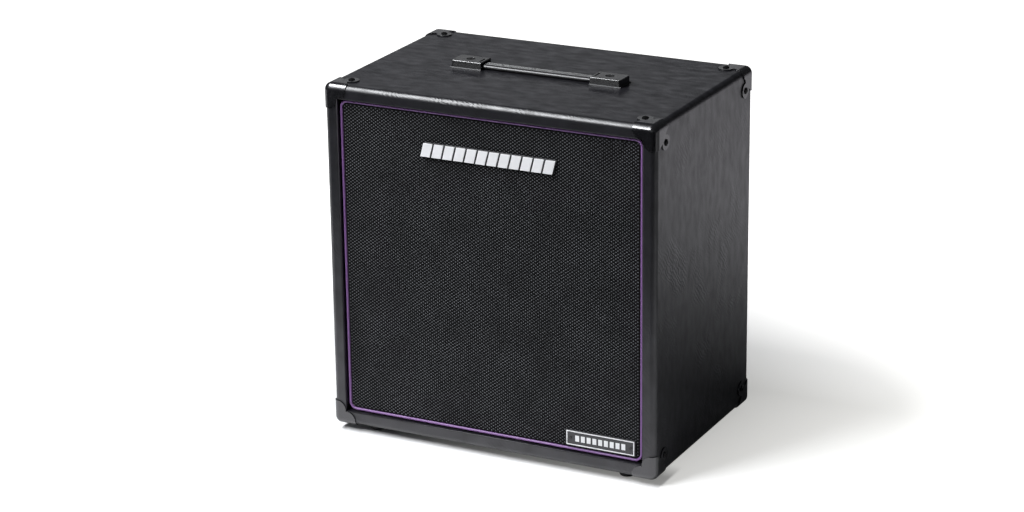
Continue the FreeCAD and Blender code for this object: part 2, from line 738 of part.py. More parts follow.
front_cleat_y = ("baffle_back", "baffle_back + cleat_width")
back_cleat_y = ("back_board_front - cleat_width", "back_board_front")
node(cleat_frame("front_cleats", front_cleat_y, baffle_screws), "baffle_cleats")
node(cleat_frame("back_cleats", back_cleat_y, back_screws), "back_panel_cleats")

# Speaker bolts and nuts, and the holes that take them

bolts = []
bolt_holes = []
nuts = []
bolt_length = "baffle_thickness + flange_back + nut_height + bolt_tail"
for index in range(count("bolt_count")):
    angle = f"(360 deg / bolt_count * {index + 0.5})"
    bolt_x = f"bolt_circle_radius * cos({angle})"
    bolt_z = f"middle + bolt_circle_radius * sin({angle})"
    bolt_seat = (bolt_x, "baffle_front", bolt_z)
    bolts.append(
        pan_screw(
            f"bolt_{index}",
            "bolt_head_radius",
            "bolt_head_height",
            "bolt_radius",
            bolt_length,
            bolt_seat,
            "-Y",
        )
    )
    hole_radius = "bolt_radius + bolt_clearance"
    bolt_holes.append(rod(f"bolt_hole_{index}", hole_radius, bolt_length, bolt_seat, "+Y"))
    nut_place = (bolt_x, "baffle_back + flange_back", bolt_z)
    nuts.append(hexagon(f"nut_{index}", "nut_circumradius", "nut_height", nut_place, "+Y"))
speaker_bolts = node(group("speaker_bolts", *bolts), "speaker_bolts")
bolt_hole_set = group("bolt_hole_set", *bolt_holes)
node(cut("speaker_nuts", group("nut_blanks", *nuts), speaker_bolts), "speaker_nuts")

# Baffle board

baffle_blank = block(
    "baffle_blank",
    both("inner_x - baffle_clearance"),
    ("baffle_front", "baffle_back"),
    both("inner_z - baffle_clearance", "middle"),
)
hole_centre = ("0", "baffle_front", "middle")
speaker_hole = rod("speaker_hole", "speaker_hole_radius", "baffle_thickness", hole_centre, "+Y")
node(cut("baffle", baffle_blank, speaker_hole, bolt_hole_set, baffle_screws), "baffle_board")

# Jack plate: plate, sockets, nuts, lugs and screws, built on the right and mirrored

jack_screw_x = "jack_plate_width / 2 - jack_screw_inset"
jack_screw_rise = "jack_plate_height / 2 - jack_screw_inset"
jack_screws = []
for letter, sign in (("low", "-"), ("high", "+")):
    jack_screws.append(
        pan_screw(
            f"jack_screw_{letter}",
            "jack_screw_head_radius",
            "jack_screw_head_height",
            "jack_screw_radius",
            "jack_screw_length",
            (jack_screw_x, "jack_plate_back", f"jack_z {sign} ({jack_screw_rise})"),
            "+Y",
        )
    )
jack_screw_set = with_mirrors("jack_screws", group("right_jack_screws", *jack_screws), "x")
node(jack_screw_set, "jack_plate_screws")

jack_centre = ("jack_spread", "back_face", "jack_z")
bushing = rod("bushing", "bushing_radius", "bushing_end - back_face", jack_centre, "+Y")
bushing_hole = rod(
    "bushing_hole", "bushing_radius + bushing_clearance", "bushing_end - back_face", jack_centre, "+Y"
)
jack_body = block(
    "jack_body",
    both("jack_body_width / 2", "jack_spread"),
    ("jack_body_front", "back_face"),
    both("jack_body_width / 2", "jack_z"),
)
plug_end = ("jack_spread", "bushing_end", "jack_z")
plug_bore = rod("plug_bore", "jack_bore_radius", "jack_bore_length", plug_end, "-Y")
plug_cavity = rod(
    "plug_cavity",
    "jack_cavity_radius",
    "bushing_end - jack_bore_length - jack_body_front - jack_body_wall",
    ("jack_spread", "jack_body_front + jack_body_wall", "jack_z"),
    "+Y",
)
jack = cut("jack", fuse("jack_blank", bushing, jack_body), plug_bore, plug_cavity)
node(with_mirrors("jacks", jack, "x"), "jack_sockets")
jack_nut = cut(
    "jack_nut",
    hexagon(
        "jack_nut_blank",
        "jack_nut_circumradius",
        "jack_nut_height",
        ("jack_spread", "jack_plate_back", "jack_z"),
        "+Y",
    ),
    bushing,
)
node(with_mirrors("jack_nut_pair", jack_nut, "x"), "jack_nuts")
jack_plate_blank = prism(
    "jack_plate_blank",
    "XZ_Plane",
    rectangle("jack_plate_width / 2", "jack_plate_height / 2"),
    "jack_plate_thickness",
    ("0", "jack_plate_back", "jack_z"),
    "jack_plate_corner",
)
bushing_holes = with_mirrors("bushing_holes", bushing_hole, "x")
node(cut("plate_of_jacks", jack_plate_blank, bushing_holes, jack_screw_set), "jack_plate")
lugs = [
    block(
        f"lug_{letter}",
        both("lug_width / 2", "jack_spread"),
        ("lug_end", "jack_body_front"),
        both("lug_thickness / 2", f"jack_z {sign} lug_spread"),
    )
    for letter, sign in (("low", "-"), ("high", "+"))
]
node(with_mirrors("lugs", group("right_lugs", *lugs), "x"), "jack_lugs")

# Back panel and its covering, cut out for the jacks

jack_cutout = block(
    "jack_cutout",
    both("jack_spread + jack_body_width / 2 + jack_cutout_margin"),
    ("back_board_front - cleat_width", "back_face"),
    both("jack_body_width / 2 + jack_cutout_margin", "jack_z"),
)
back_board_y = ("back_board_front", "back_board_back")
back_board = block("back_board", both("back_panel_x"), back_board_y, both("back_panel_z", "middle"))
back_skin = block(
    "back_skin",
    both("back_panel_x + vinyl_thickness"),
    ("back_board_front", "back_face"),
    both("back_panel_z + vinyl_thickness", "middle"),
)
node(cut("back_panel_cut", back_board, jack_cutout, back_screws, jack_screw_set), "back_panel")
node(cut("back_vinyl", back_skin, back_board, jack_cutout, back_screws, jack_screw_set), "back_panel_vinyl")

# Grille: frame, cloth drawn over it, piping round it, and the pads that hold it to the baffle

frame_solid = prism(
    "frame_solid",
    "XZ_Plane",
    rectangle("frame_x", "frame_z"),
    "frame_thickness",
    ("0", "frame_back", "middle"),
    "cloth_corner - cloth_thickness",
)
frame_window = block(
    "frame_window",
    both("frame_x - frame_rail_width"),
    ("frame_front", "frame_back"),
    both("frame_z - frame_rail_width", "middle"),
)
node(cut("frame_rails", frame_solid, frame_window), "grille_frame")
cloth_solid = prism(
    "cloth_solid",
    "XZ_Plane",
    rectangle("cloth_x", "cloth_z"),
    "frame_back - cloth_front",
    ("0", "frame_back", "middle"),
    "cloth_corner",
)
node(cut("cloth", cloth_solid, frame_solid), "grille_cloth")

bead_corner = doc.addObject("Part::Torus", "bead_corner")
bind(bead_corner, "Radius1", "piping_corner_radius")
bind(bead_corner, "Radius2", "piping_radius")
bead_corner.Angle3 = 90
bead_corner.Placement = Placement(Vector(), Rotation(Vector(1, 0, 0), 90))
for letter, text in (("x", "piping_x"), ("z", "middle + piping_z")):
    bind(bead_corner, "Placement.Base." + letter, f"{text} - piping_corner_radius")
bind(bead_corner, "Placement.Base.y", "piping_y")
bead_top = rod(
    "bead_top",
    "piping_radius",
    "2 * (piping_x - piping_corner_radius)",
    ("piping_corner_radius - piping_x", "piping_y", "middle + piping_z"),
    "+X",
)
bead_side = rod(
    "bead_side",
    "piping_radius",
    "2 * (piping_z - piping_corner_radius)",
    ("piping_x", "piping_y", "middle + piping_corner_radius - piping_z"),
)
tape_solid = prism(
    "tape_solid",
    "XZ_Plane",
    rectangle("cloth_x + piping_tape", "cloth_z + piping_tape"),
    "frame_back - piping_y",
    ("0", "frame_back", "middle"),
    "cloth_corner + piping_tape",
)
tape = cut("tape", tape_solid, cloth_solid)
bead_parts = [
    bead_corner,
    mirrored("bead_corner_left", bead_corner, "x"),
    bead_top,
    mirrored("bead_bottom", bead_top, "z"),
    bead_side,
    mirrored("bead_side_left", bead_side, "x"),
]
bead_parts += [mirrored(f"{part.Name}_low", part, "z") for part in bead_parts[:2]]
node(fuse("piping", tape, *bead_parts), "grille_piping")

grip_y = ("frame_back", "baffle_front")
grip_half = "grip_pad_width / 2"
side_grip = block(
    "side_grip",
    both(grip_half, "frame_x - frame_rail_width / 2"),
    grip_y,
    both(grip_half, "middle + grip_pad_spread"),
)
top_grip = block(
    "top_grip",
    both(grip_half, "grip_pad_spread"),
    grip_y,
    both(grip_half, "middle + frame_z - frame_rail_width / 2"),
)
grips = with_mirrors("grips", group("right_grips", side_grip, top_grip), "xz")
node(grips, "grille_pads")

# Upper badge: a slanted plate with a row of slanted bars

def slanted(name, left, right, half_height, thickness, at):
    """A plate with slanted ends: left and right are measured halfway up."""
    lean = f"badge_slant * ({half_height}) / badge_height"
    points = [
        (f"({left}) - {lean}", f"-({half_height})"),
        (f"({right}) - {lean}", f"-({half_height})"),
        (f"({right}) + {lean}", half_height),
        (f"({left}) + {lean}", half_height),
    ]
    return prism(name, "XZ_Plane", points, thickness, at)


badge_half = "badge_length / 2"
badge_seat = ("0", "cloth_front", "badge_z")
badge = slanted("badge", f"-{badge_half}", badge_half, "badge_height / 2", "badge_thickness", badge_seat)
node(badge, "upper_badge")
badge_bars = []
for index in range(count("badge_bar_count")):
    bar_left = f"badge_margin - {badge_half} + {index} * badge_pitch"
    badge_bars.append(
        slanted(
            f"badge_bar_{index}",
            bar_left,
            f"{bar_left} + badge_pitch - badge_bar_gap",
            "badge_height / 2 - badge_margin",
            "badge_bar_thickness",
            ("0", "cloth_front - badge_thickness", "badge_z"),
        )
    )
node(group("badge_bars", *badge_bars), "upper_badge_bars")

# Lower badge: a plate with two pins, a raised border line and a row of short bars

plate_y = ("cloth_front - plate_thickness", "cloth_front")
plate_blank = block(
    "plate_blank", both("plate_length / 2", "plate_x"), plate_y, both("plate_height / 2", "plate_z")
)
pin_offset = "(plate_length / 2 - plate_pin_inset)"
plate_pins = [
    rod(
        f"plate_pin_{hand}",
        "plate_pin_radius",
        "plate_pin_height",
        (f"plate_x {sign} {pin_offset}", plate_y[0], "plate_z"),
        "-Y",
    )
    for hand, sign in (("left", "-"), ("right", "+"))
]
node(fuse("plate", plate_blank, *plate_pins), "lower_badge")
line_y = ("cloth_front - plate_thickness - plate_line_thickness", "cloth_front - plate_thickness")


def plate_rectangle(name, inset):
    return block(
        name,
        both(f"plate_length / 2 - {inset}", "plate_x"),
        line_y,
        both(f"plate_height / 2 - {inset}", "plate_z"),
    )


plate_line = cut(
    "plate_line",
    plate_rectangle("plate_line_outer", "plate_margin"),
    plate_rectangle("plate_line_inner", "(plate_margin + plate_line_width)"),
)
plate_bars = [
    block(
        f"plate_bar_{index}",
        both("plate_bar_width / 2", f"plate_x + ({index} - (plate_bar_count - 1) / 2) * plate_bar_pitch"),
        line_y,
        both("plate_bar_height / 2", "plate_z"),
    )
    for index in range(count("plate_bar_count"))
]
node(group("plate_marks", plate_line, *plate_bars), "lower_badge_marks")

# Corner protectors: a shell over one corner, trimmed to an outline on each face, mirrored to all eight

guard_block = rounded_block("guard_block", "guard_thickness", "edge_radius + guard_thickness")
guard_shell = cut("guard_shell", guard_block, skin_block)


def guard_outline(sign):
    """One face of a corner protector, from the cabinet's corner: two legs along the edges and a neck between."""
    points = [
        ("-guard_band", "-guard_band"),
        ("guard_leg", "-guard_band"),
        ("guard_leg", "guard_step"),
        ("guard_ear_inset", "guard_waist"),
        ("guard_ear_inset", "guard_ear_inset"),
        ("guard_waist", "guard_ear_inset"),
        ("guard_step", "guard_leg"),
        ("-guard_band", "guard_leg"),
    ]
    return [(f"{sign} 1 * ({across})", along) for across, along in points]


guard_depth = "2 * guard_band"
past_front = ("front - guard_band", "front + guard_band")
top_mask = prism(
    "mask_top",
    "XY_Plane",
    guard_outline("-"),
    guard_depth,
    ("side", "front", "top - guard_band"),
    "guard_curve_radius",
)
side_mask = prism(
    "mask_side",
    "XY_Plane",
    guard_outline("+"),
    guard_depth,
    ("side - guard_band", "front", "top"),
    "guard_curve_radius",
    "+X",
)
rim_square = "guard_lobe_across + guard_lobe_radius"
lobe_x = ["side - guard_lobe_across", "side - guard_lobe_along"]
lobe_z = ["top - guard_lobe_along", "top - guard_lobe_across"]
guard_mask = fuse(
    "guard_mask",
    top_mask,
    side_mask,
    rod("mask_top_ear", "guard_ear_radius", guard_depth, (ear_x, ear_y, "top - guard_band")),
    rod("mask_side_ear", "guard_ear_radius", guard_depth, ("side - guard_band", ear_y, ear_z), "+X"),
    block(
        "mask_rim",
        (f"side - ({rim_square})", "side + guard_band"),
        past_front,
        (f"top - ({rim_square})", "top + guard_band"),
    ),
    *[
        rod(f"mask_lobe_{index}", "guard_lobe_radius", guard_depth, (x, past_front[0], z), "+Y")
        for index, (x, z) in enumerate(zip(lobe_x, lobe_z))
    ],
)
front_top_right = cut("front_top_right", common("guard_trimmed", guard_shell, guard_mask), guard_screw_pair)
for depth in ("front", "back"):
    right = front_top_right if depth == "front" else mirrored("back_top_right", front_top_right, "y")
    for hand in ("right", "left"):
        upper = right if hand == "right" else mirrored(f"{depth}_top_left", right, "x")
        node(upper, f"corner_{depth}_top_{hand}")
        node(mirrored(f"{depth}_bottom_{hand}", upper, "z"), f"corner_{depth}_bottom_{hand}")

# Handle caps: a hollow shell with a cut-off outer end, a post round the screw and a groove across the top

cap_half = "cap_width / 2"
cap_body = prism(
    "cap_solid",
    "XY_Plane",
    [
        ("cap_mouth", f"-{cap_half}"),
        ("handle_length / 2 - cap_corner", f"-{cap_half}"),
        ("handle_length / 2", f"cap_corner - {cap_half}"),
        ("handle_length / 2", f"{cap_half} - cap_corner"),
        ("handle_length / 2 - cap_corner", cap_half),
        ("cap_mouth", cap_half),
    ],
    "cap_height",
    ("0", "0", "top"),
)
doc.recompute()
cap_pad = cap_body.Tip
half_way_up = cap_pad.Shape.BoundBox.ZMax / 2
cap_edges = enumerate(cap_pad.Shape.Edges, 1)
roof_edges = [number for number, edge in cap_edges if edge.BoundBox.ZMin > half_way_up]
round_off(cap_body, cap_pad, roof_edges, "cap_edge_radius")
cap_hollow = block(
    "cap_hollow",
    ("cap_mouth", "handle_length / 2 - cap_corner"),
    both(f"{cap_half} - cap_wall"),
    ("top", "cap_ceiling"),
)
cap_hollow_end = block(
    "cap_hollow_end",
    ("cap_mouth", "handle_length / 2 - cap_wall"),
    both("strap_width / 2 + strap_slot_gap"),
    ("top", "cap_ceiling"),
)
well_floor = ("handle_screw_x", "0", "handle_screw_seat")
cap_well = rod("cap_well", "cap_well_radius", "cap_well_depth", well_floor)
cap_groove = block(
    "cap_groove",
    both("cap_groove_width / 2", "cap_mouth + cap_groove_inset"),
    both("cap_groove_length / 2"),
    ("top + cap_height - cap_groove_depth", "top + cap_height"),
)
cap_shell = cut("cap_shell", cap_body, cap_hollow, cap_hollow_end, cap_well, cap_groove)
cap_post = rod("cap_post", "cap_boss_radius", "cap_height - cap_wall", ("handle_screw_x", "0", "top"))
cap = cut("cap", fuse("cap_with_post", cap_shell, cap_post), handle_screw)
node(cap, "handle_cap_right")
node(mirrored("cap_left", cap, "x"), "handle_cap_left")

# Strap: a middle, two arms and two slotted ends that meet in rounded bends

strap_y = both("strap_width / 2")
strap_z = ("strap_under", "strap_over")


def bend(name, x, gap):
    return rod(name, f"strap_thickness / 2 + {gap}", "strap_width", (x, strap_y[0], "strap_z"), "+Y")


inner_socket = bend("inner_socket", "inner_bend", "strap_bend_gap")
outer_socket = bend("outer_socket", "outer_bend", "strap_bend_gap")
middle_blank = block("strap_middle_blank", both("inner_bend"), strap_y, strap_z)
node(cut("strap_middle", middle_blank, with_mirrors("inner_sockets", inner_socket, "x")), "strap_centre")
arm_right = fuse(
    "arm_right",
    block("arm_blank", ("inner_bend", "outer_bend"), strap_y, strap_z),
    bend("inner_knuckle", "inner_bend", "0"),
    bend("outer_knuckle", "outer_bend", "0"),
)
node(arm_right, "strap_arm_right")
node(mirrored("arm_left", arm_right, "x"), "strap_arm_left")
slot_x = ("handle_screw_x", "handle_screw_x + strap_draw")
slot_start = rod("slot_start", "strap_slot", "strap_thickness", (slot_x[0], "0", "strap_under"))
slot_end = rod("slot_end", "strap_slot", "strap_thickness", (slot_x[1], "0", "strap_under"))
slot_run = block("slot_run", slot_x, both("strap_slot"), strap_z)
end_right = cut(
    "end_right",
    block("end_blank", ("outer_bend", "strap_end"), strap_y, strap_z),
    outer_socket,
    fuse("strap_slot_tool", slot_start, slot_end, slot_run),
)
node(end_right, "strap_end_right")
node(mirrored("end_left", end_right, "x"), "strap_end_left")

# Speaker: turned about its own axis, which runs back from the rear face of the baffle

speaker_place = ("0", "baffle_back", "middle")


def speaker_turned(name, points):
    return turned(name, points, speaker_place, "+Y")


def ring(inner, outer, front_depth, back_depth):
    return [(inner, front_depth), (outer, front_depth), (outer, back_depth), (inner, back_depth)]


gasket_ring = ring("gasket_inner_radius", "speaker_radius", "0", "gasket_thickness")
node(cut("gasket", speaker_turned("gasket_blank", gasket_ring), bolt_hole_set), "speaker_gasket")

basket_body = speaker_turned(
    "basket_body",
    [
        ("speaker_radius", "gasket_thickness"),
        ("basket_rim_radius", "gasket_thickness"),
        ("shoulder_radius", "shoulder_depth"),
        ("ledge_radius", "ledge_depth"),
        ("ledge_inner", "ledge_depth"),
        ("cup_radius", "basket_depth"),
        ("cup_hole_radius", "basket_depth"),
        ("cup_hole_radius", "basket_depth + basket_sheet"),
        ("cup_radius + basket_sheet", "basket_depth + basket_sheet"),
        ("ledge_inner + basket_sheet", "ledge_depth + basket_sheet"),
        ("ledge_radius + basket_sheet", "ledge_depth + basket_sheet"),
        ("shoulder_radius + basket_sheet", "shoulder_depth + basket_sheet"),
        ("basket_rim_radius + basket_sheet", "flange_back"),
        ("speaker_radius", "flange_back"),
    ],
)
window_outline = outline(
    basket_body,
    "XY_Plane",
    [
        (f"{radius} * cos(window_half_angle * 1 deg)", f"{sign}{radius} * sin(window_half_angle * 1 deg)")
        for radius, sign in (
            ("window_inner_radius", "-"),
            ("window_outer_radius", "-"),
            ("window_outer_radius", ""),
            ("window_inner_radius", ""),
        )
    ],
)
basket_windows = basket_body.newObject("PartDesign::Pocket", "basket_windows")
basket_windows.Profile = window_outline
basket_windows.Type = "ThroughAll"
basket_windows.Midplane = True
doc.recompute()
window_ring = basket_body.newObject("PartDesign::PolarPattern", "window_ring")
window_ring.Originals = [basket_windows]
window_ring.Axis = (window_outline, ["N_Axis"])
window_ring.Angle = 360
bind(window_ring, "Occurrences", "window_count")
basket_body.Tip = window_ring
node(cut("basket", basket_body, bolt_hole_set), "speaker_basket")

plate_hole = "winding_outer + coil_clearance"
plate_ring = ring(plate_hole, "front_plate_radius", "front_plate_front", "magnet_front")
node(speaker_turned("front_plate", plate_ring), "speaker_front_plate")
magnet_ring = ring("magnet_hole_radius", "magnet_radius", "magnet_front", "yoke_front")
node(speaker_turned("magnet", magnet_ring), "speaker_magnet")
node(
    speaker_turned(
        "yoke",
        [
            ("0", "front_plate_front"),
            ("pole_radius", "front_plate_front"),
            ("pole_radius", "yoke_front"),
            ("yoke_radius", "yoke_front"),
            ("yoke_radius", "yoke_front + yoke_thickness"),
            ("0", "yoke_front + yoke_thickness"),
        ],
    ),
    "speaker_yoke",
)
node(
    speaker_turned(
        "coil",
        [
            ("former_inner", "cone_neck_depth"),
            ("former_outer", "cone_neck_depth"),
            ("former_outer", "winding_front"),
            ("winding_outer", "winding_front"),
            ("winding_outer", "winding_back"),
            ("former_outer", "winding_back"),
            ("former_outer", "winding_back + former_tail"),
            ("former_inner", "winding_back + former_tail"),
        ],
    ),
    "voice_coil",
)
node(
    speaker_turned(
        "paper_cone",
        [
            ("former_outer", "cone_neck_depth"),
            ("cone_radius", "cone_edge_depth"),
            ("cone_radius", "cone_edge_depth + cone_paper"),
            ("former_outer", "cone_neck_depth + cone_paper"),
        ],
    ),
    "speaker_cone",
)


def sheet_profile(line, thickness):
    """A thin sheet: a line of (radius, depth) points and the same line one thickness further back."""
    return line + [(radius, f"{depth} + {thickness}") for radius, depth in reversed(line)]


roll = "(basket_rim_radius - surround_inner) / 4"
seat_depth = "gasket_thickness - surround_sheet"
surround_line = [
    ("surround_outer", seat_depth),
    ("basket_rim_radius", seat_depth),
    (f"surround_inner + 3 * {roll}", f"{seat_depth} - surround_wave"),
    (f"surround_inner + 2 * {roll}", seat_depth),
    (f"surround_inner + {roll}", f"{seat_depth} - surround_wave"),
    ("surround_inner", "cone_edge_depth"),
]
node(speaker_turned("surround", sheet_profile(surround_line, "surround_sheet")), "speaker_surround")

spider_seat = "ledge_depth - spider_sheet"
spider_line = [("ledge_radius", spider_seat)]
for index in range(2 * count("spider_wave_count") + 1):
    lift = "spider_wave" if index % 2 else "0"
    spider_line.append((f"ledge_inner - {index} * spider_step", f"{spider_seat} - {lift}"))
node(speaker_turned("spider", sheet_profile(spider_line, "spider_sheet")), "speaker_spider")

dome_centre = ("0", "baffle_back + dome_seat + dome_curve - dome_height", "middle")
dome_outer = doc.addObject("Part::Sphere", "dome_outer")
bind(dome_outer, "Radius", "dome_curve")
bind(dome_outer, "Angle1", "asin((dome_curve - dome_height) / dome_curve)")
place(dome_outer, dome_centre, "-Y")
dome_inner = doc.addObject("Part::Sphere", "dome_inner")
bind(dome_inner, "Radius", "dome_curve - dome_paper")
place(dome_inner, dome_centre, "-Y")
node(cut("dome", dome_outer, dome_inner), "speaker_dust_cap")

terminal_block = block(
    "terminal_block",
    both("terminal_width / 2"),
    ("terminal_front", "terminal_back"),
    ("terminal_under", "terminal_top"),
)
tab = block(
    "tab",
    both("tab_width / 2", "tab_spread"),
    ("terminal_back", "terminal_back + tab_length"),
    both("tab_thickness / 2", "tab_z"),
)
node(group("terminals", terminal_block, with_mirrors("tabs", tab, "x")), "speaker_terminals")

# Wires: straight runs joined by tangent arcs

ARC_SHARE = 0.45  # of the shorter run next to a corner


def route_points(name, places):
    """Points of a route, as vertices of the document so that they follow the sizes."""
    vertices = []
    for index, at in enumerate(places):
        vertex = doc.addObject("Part::Vertex", f"{name}_point_{index}")
        for prop, text in zip("XYZ", at):
            bind(vertex, prop, text)
        vertices.append(vertex)
    doc.recompute()
    return [Vector(vertex.X.Value, vertex.Y.Value, vertex.Z.Value) for vertex in vertices]


def tube_shape(points, radius):
    """A round tube along the points, with an arc at each corner."""
    edges = []
    start = points[0]
    for before, corner, after in zip(points, points[1:], points[2:]):
        reach = ARC_SHARE * min((before - corner).Length, (after - corner).Length)
        arc_start = corner + (before - corner).normalize() * reach
        arc_end = corner + (after - corner).normalize() * reach
        inward = ((before - corner).normalize() + (after - corner).normalize()).normalize()
        half_turn = (before - corner).getAngle(inward)
        arc_radius = reach * math.tan(half_turn)
        arc_middle = corner + inward * (reach / math.cos(half_turn) - arc_radius)
        edges.append(Part.LineSegment(start, arc_start).toShape())
        edges.append(Part.Arc(arc_start, arc_middle, arc_end).toShape())
        start = arc_end
        print("bend radius", round(arc_radius, 1))
    edges.append(Part.LineSegment(start, points[-1]).toShape())
    path = Part.Wire(edges)
    ring_edge = Part.Circle(points[0], points[1] - points[0], radius).toShape()
    tube = path.makePipeShell([Part.Wire([ring_edge])], True, False)
    expected = math.pi * radius**2 * path.Length
    print("tube volume", round(tube.Volume, 1), "section times length", round(expected, 1))
    return tube


def tube_feature(name, places, radius_name):
    item = doc.addObject("Part::Feature", name)
    item.Shape = tube_shape(route_points(name, places), float(sheet.get(radius_name)))
    return item


wire_level = "floor_board_top + clip_height / 2"
wires = []
for hand, sign in (("high", "+"), ("low", "-")):
    lug_z = f"jack_z {sign} lug_spread"
    clip_x = f"jack_spread {sign} wire_pitch / 2"
    tab_x = f"({sign}tab_spread)"
    wires.append(
        tube_feature(
            f"wire_{hand}",
            [
                ("jack_spread", "lug_end", lug_z),
                ("jack_spread", "lug_end - wire_run_out", lug_z),
                (clip_x, "clip_run", wire_level),
                (clip_x, "-clip_run", wire_level),
                (tab_x, "terminal_back + tab_length / 2", "tab_z - wire_rise"),
                (tab_x, "terminal_back + tab_length / 2", "tab_z - tab_thickness / 2"),
            ],
            "wire_radius",
        )
    )
link_wires = [
    rod(
        f"link_{letter}",
        "wire_radius",
        "2 * jack_spread - lug_width",
        ("lug_width / 2 - jack_spread", "lug_end + lug_length / 2", f"jack_z {sign} lug_spread"),
        "+X",
    )
    for letter, sign in (("low", "-"), ("high", "+"))
]
node(group("wires", *wires, *link_wires), "speaker_wires")

wire_channels = [
    rod(
        f"wire_channel_{hand}",
        "wire_radius + clip_clearance",
        "clip_length",
        (f"jack_spread {sign} wire_pitch / 2", "-clip_length / 2", wire_level),
        "+Y",
    )
    for hand, sign in (("low", "-"), ("high", "+"))
]
clip_blank = block(
    "clip_blank",
    both("clip_width / 2", "jack_spread"),
    both("clip_length / 2"),
    ("floor_board_top", "floor_board_top + clip_height"),
)
node(cut("clip", clip_blank, *wire_channels), "cable_clip")

cone_behind = "cone_neck_depth + cone_paper - (lead_landing_radius - former_outer) * cone_slope"
lead_depth = f"{cone_behind} + lead_radius + lead_gap"
leads = []
for hand, sign in (("left", "-"), ("right", "")):
    lead_x = f"({sign}tab_spread)"
    leads.append(
        tube_feature(
            f"lead_{hand}",
            [
                (lead_x, "terminal_front + terminal_thickness / 2", "terminal_under"),
                (lead_x, "terminal_front + terminal_thickness / 2", "terminal_under - lead_drop"),
                (lead_x, "terminal_front - lead_reach", "terminal_under - lead_hang"),
                (lead_x, f"baffle_back + {lead_depth}", "middle - lead_landing_radius"),
            ],
            "lead_radius",
        )
    )
node(group("leads", *leads), "tinsel_leads")

# Check and write every piece

doc.recompute()
failed = [item.Name for item in doc.Objects if "Invalid" in item.State or "Error" in item.State]
bad = [item.Label for item in nodes if item.Shape.isNull() or not item.Shape.isValid()]
if failed or bad:
    raise SystemExit(f"failed objects {failed}, bad shapes {bad}")
os.makedirs("parts", exist_ok=True)
for item in nodes:
    item.Shape.exportStep(f"parts/{item.Label}.step")
print(len(nodes), "nodes,", sum(len(item.Shape.Solids) for item in nodes), "solids")
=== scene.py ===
import itertools
import json
import math

import bmesh
import bpy
from mathutils import Matrix, Vector


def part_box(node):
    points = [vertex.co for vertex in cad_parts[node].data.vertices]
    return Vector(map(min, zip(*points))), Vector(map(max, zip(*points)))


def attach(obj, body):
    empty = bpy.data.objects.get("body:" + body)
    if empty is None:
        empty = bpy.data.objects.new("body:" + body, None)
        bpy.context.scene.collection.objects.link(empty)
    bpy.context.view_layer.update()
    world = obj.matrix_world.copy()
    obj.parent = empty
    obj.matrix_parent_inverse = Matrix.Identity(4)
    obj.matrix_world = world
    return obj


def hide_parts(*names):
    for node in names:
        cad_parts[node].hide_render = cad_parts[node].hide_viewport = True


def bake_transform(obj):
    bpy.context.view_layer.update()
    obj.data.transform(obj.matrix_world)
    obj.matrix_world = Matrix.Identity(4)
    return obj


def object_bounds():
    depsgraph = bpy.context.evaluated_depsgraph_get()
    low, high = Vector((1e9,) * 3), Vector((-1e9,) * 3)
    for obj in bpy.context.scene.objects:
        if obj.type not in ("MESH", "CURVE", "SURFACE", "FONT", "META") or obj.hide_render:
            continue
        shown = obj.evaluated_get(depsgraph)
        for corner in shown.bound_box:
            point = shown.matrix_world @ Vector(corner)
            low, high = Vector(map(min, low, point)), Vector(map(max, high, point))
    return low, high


# Looks of a guitar speaker cabinet: grained vinyl, woven grille cloth, coloured piping, moulded corners,
# a ribbed strap handle, cross-head screws, and the speaker and wiring inside. Metres, in the frame's axes.

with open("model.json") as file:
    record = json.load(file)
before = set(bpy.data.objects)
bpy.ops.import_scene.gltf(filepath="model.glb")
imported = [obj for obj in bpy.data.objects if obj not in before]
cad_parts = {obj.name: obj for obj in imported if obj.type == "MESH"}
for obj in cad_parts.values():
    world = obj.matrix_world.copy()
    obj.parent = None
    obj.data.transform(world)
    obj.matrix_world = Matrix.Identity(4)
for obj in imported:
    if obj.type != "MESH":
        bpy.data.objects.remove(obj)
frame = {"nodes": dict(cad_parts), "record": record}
cad_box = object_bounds()
cad_low, cad_high = cad_box
body_of_node = {
    node: body for body, members in frame["record"]["behaviour"]["bodies"].items() for node in members
}
slot_of_node = {entry["node"]: entry["material_slot"] for entry in frame["record"]["subparts"]}
MM = 0.001
SIDE_OF_HAND = {"left": -1, "right": 1}


# Camera, fitted to the edges of the box

PHOTO_WIDTH = 1024
FOCAL_PIXELS = 2968.6
SENSOR_WIDTH = 36.0
CAMERA_PLACE = Vector((1.6294, -3.2541, 1.4904))
CAMERA_YAW = math.radians(27.2)
CAMERA_PITCH = math.radians(19.15)
CAMERA_ROLL = math.radians(-0.75)


def make_camera():
    data = bpy.data.cameras.new("photo_camera")
    data.sensor_width = SENSOR_WIDTH
    data.lens = FOCAL_PIXELS * SENSOR_WIDTH / PHOTO_WIDTH
    ahead = Vector(
        (
            -math.sin(CAMERA_YAW) * math.cos(CAMERA_PITCH),
            math.cos(CAMERA_YAW) * math.cos(CAMERA_PITCH),
            -math.sin(CAMERA_PITCH),
        )
    )
    level = Vector((math.cos(CAMERA_YAW), math.sin(CAMERA_YAW), 0))
    upright = level.cross(ahead)
    across = math.cos(CAMERA_ROLL) * level + math.sin(CAMERA_ROLL) * upright
    up = math.cos(CAMERA_ROLL) * upright - math.sin(CAMERA_ROLL) * level
    camera = bpy.data.objects.new("photo_camera", data)
    turn = Matrix((across, up, -ahead)).transposed().to_4x4()
    camera.matrix_world = Matrix.Translation(CAMERA_PLACE) @ turn
    bpy.context.collection.objects.link(camera)
    bpy.context.scene.camera = camera


# Shader helper, with the colour sockets of a Mix node by number because others share their names

MIX_SHARE = 0
MIX_FIRST = 6
MIX_SECOND = 7
MIX_RESULT = 2


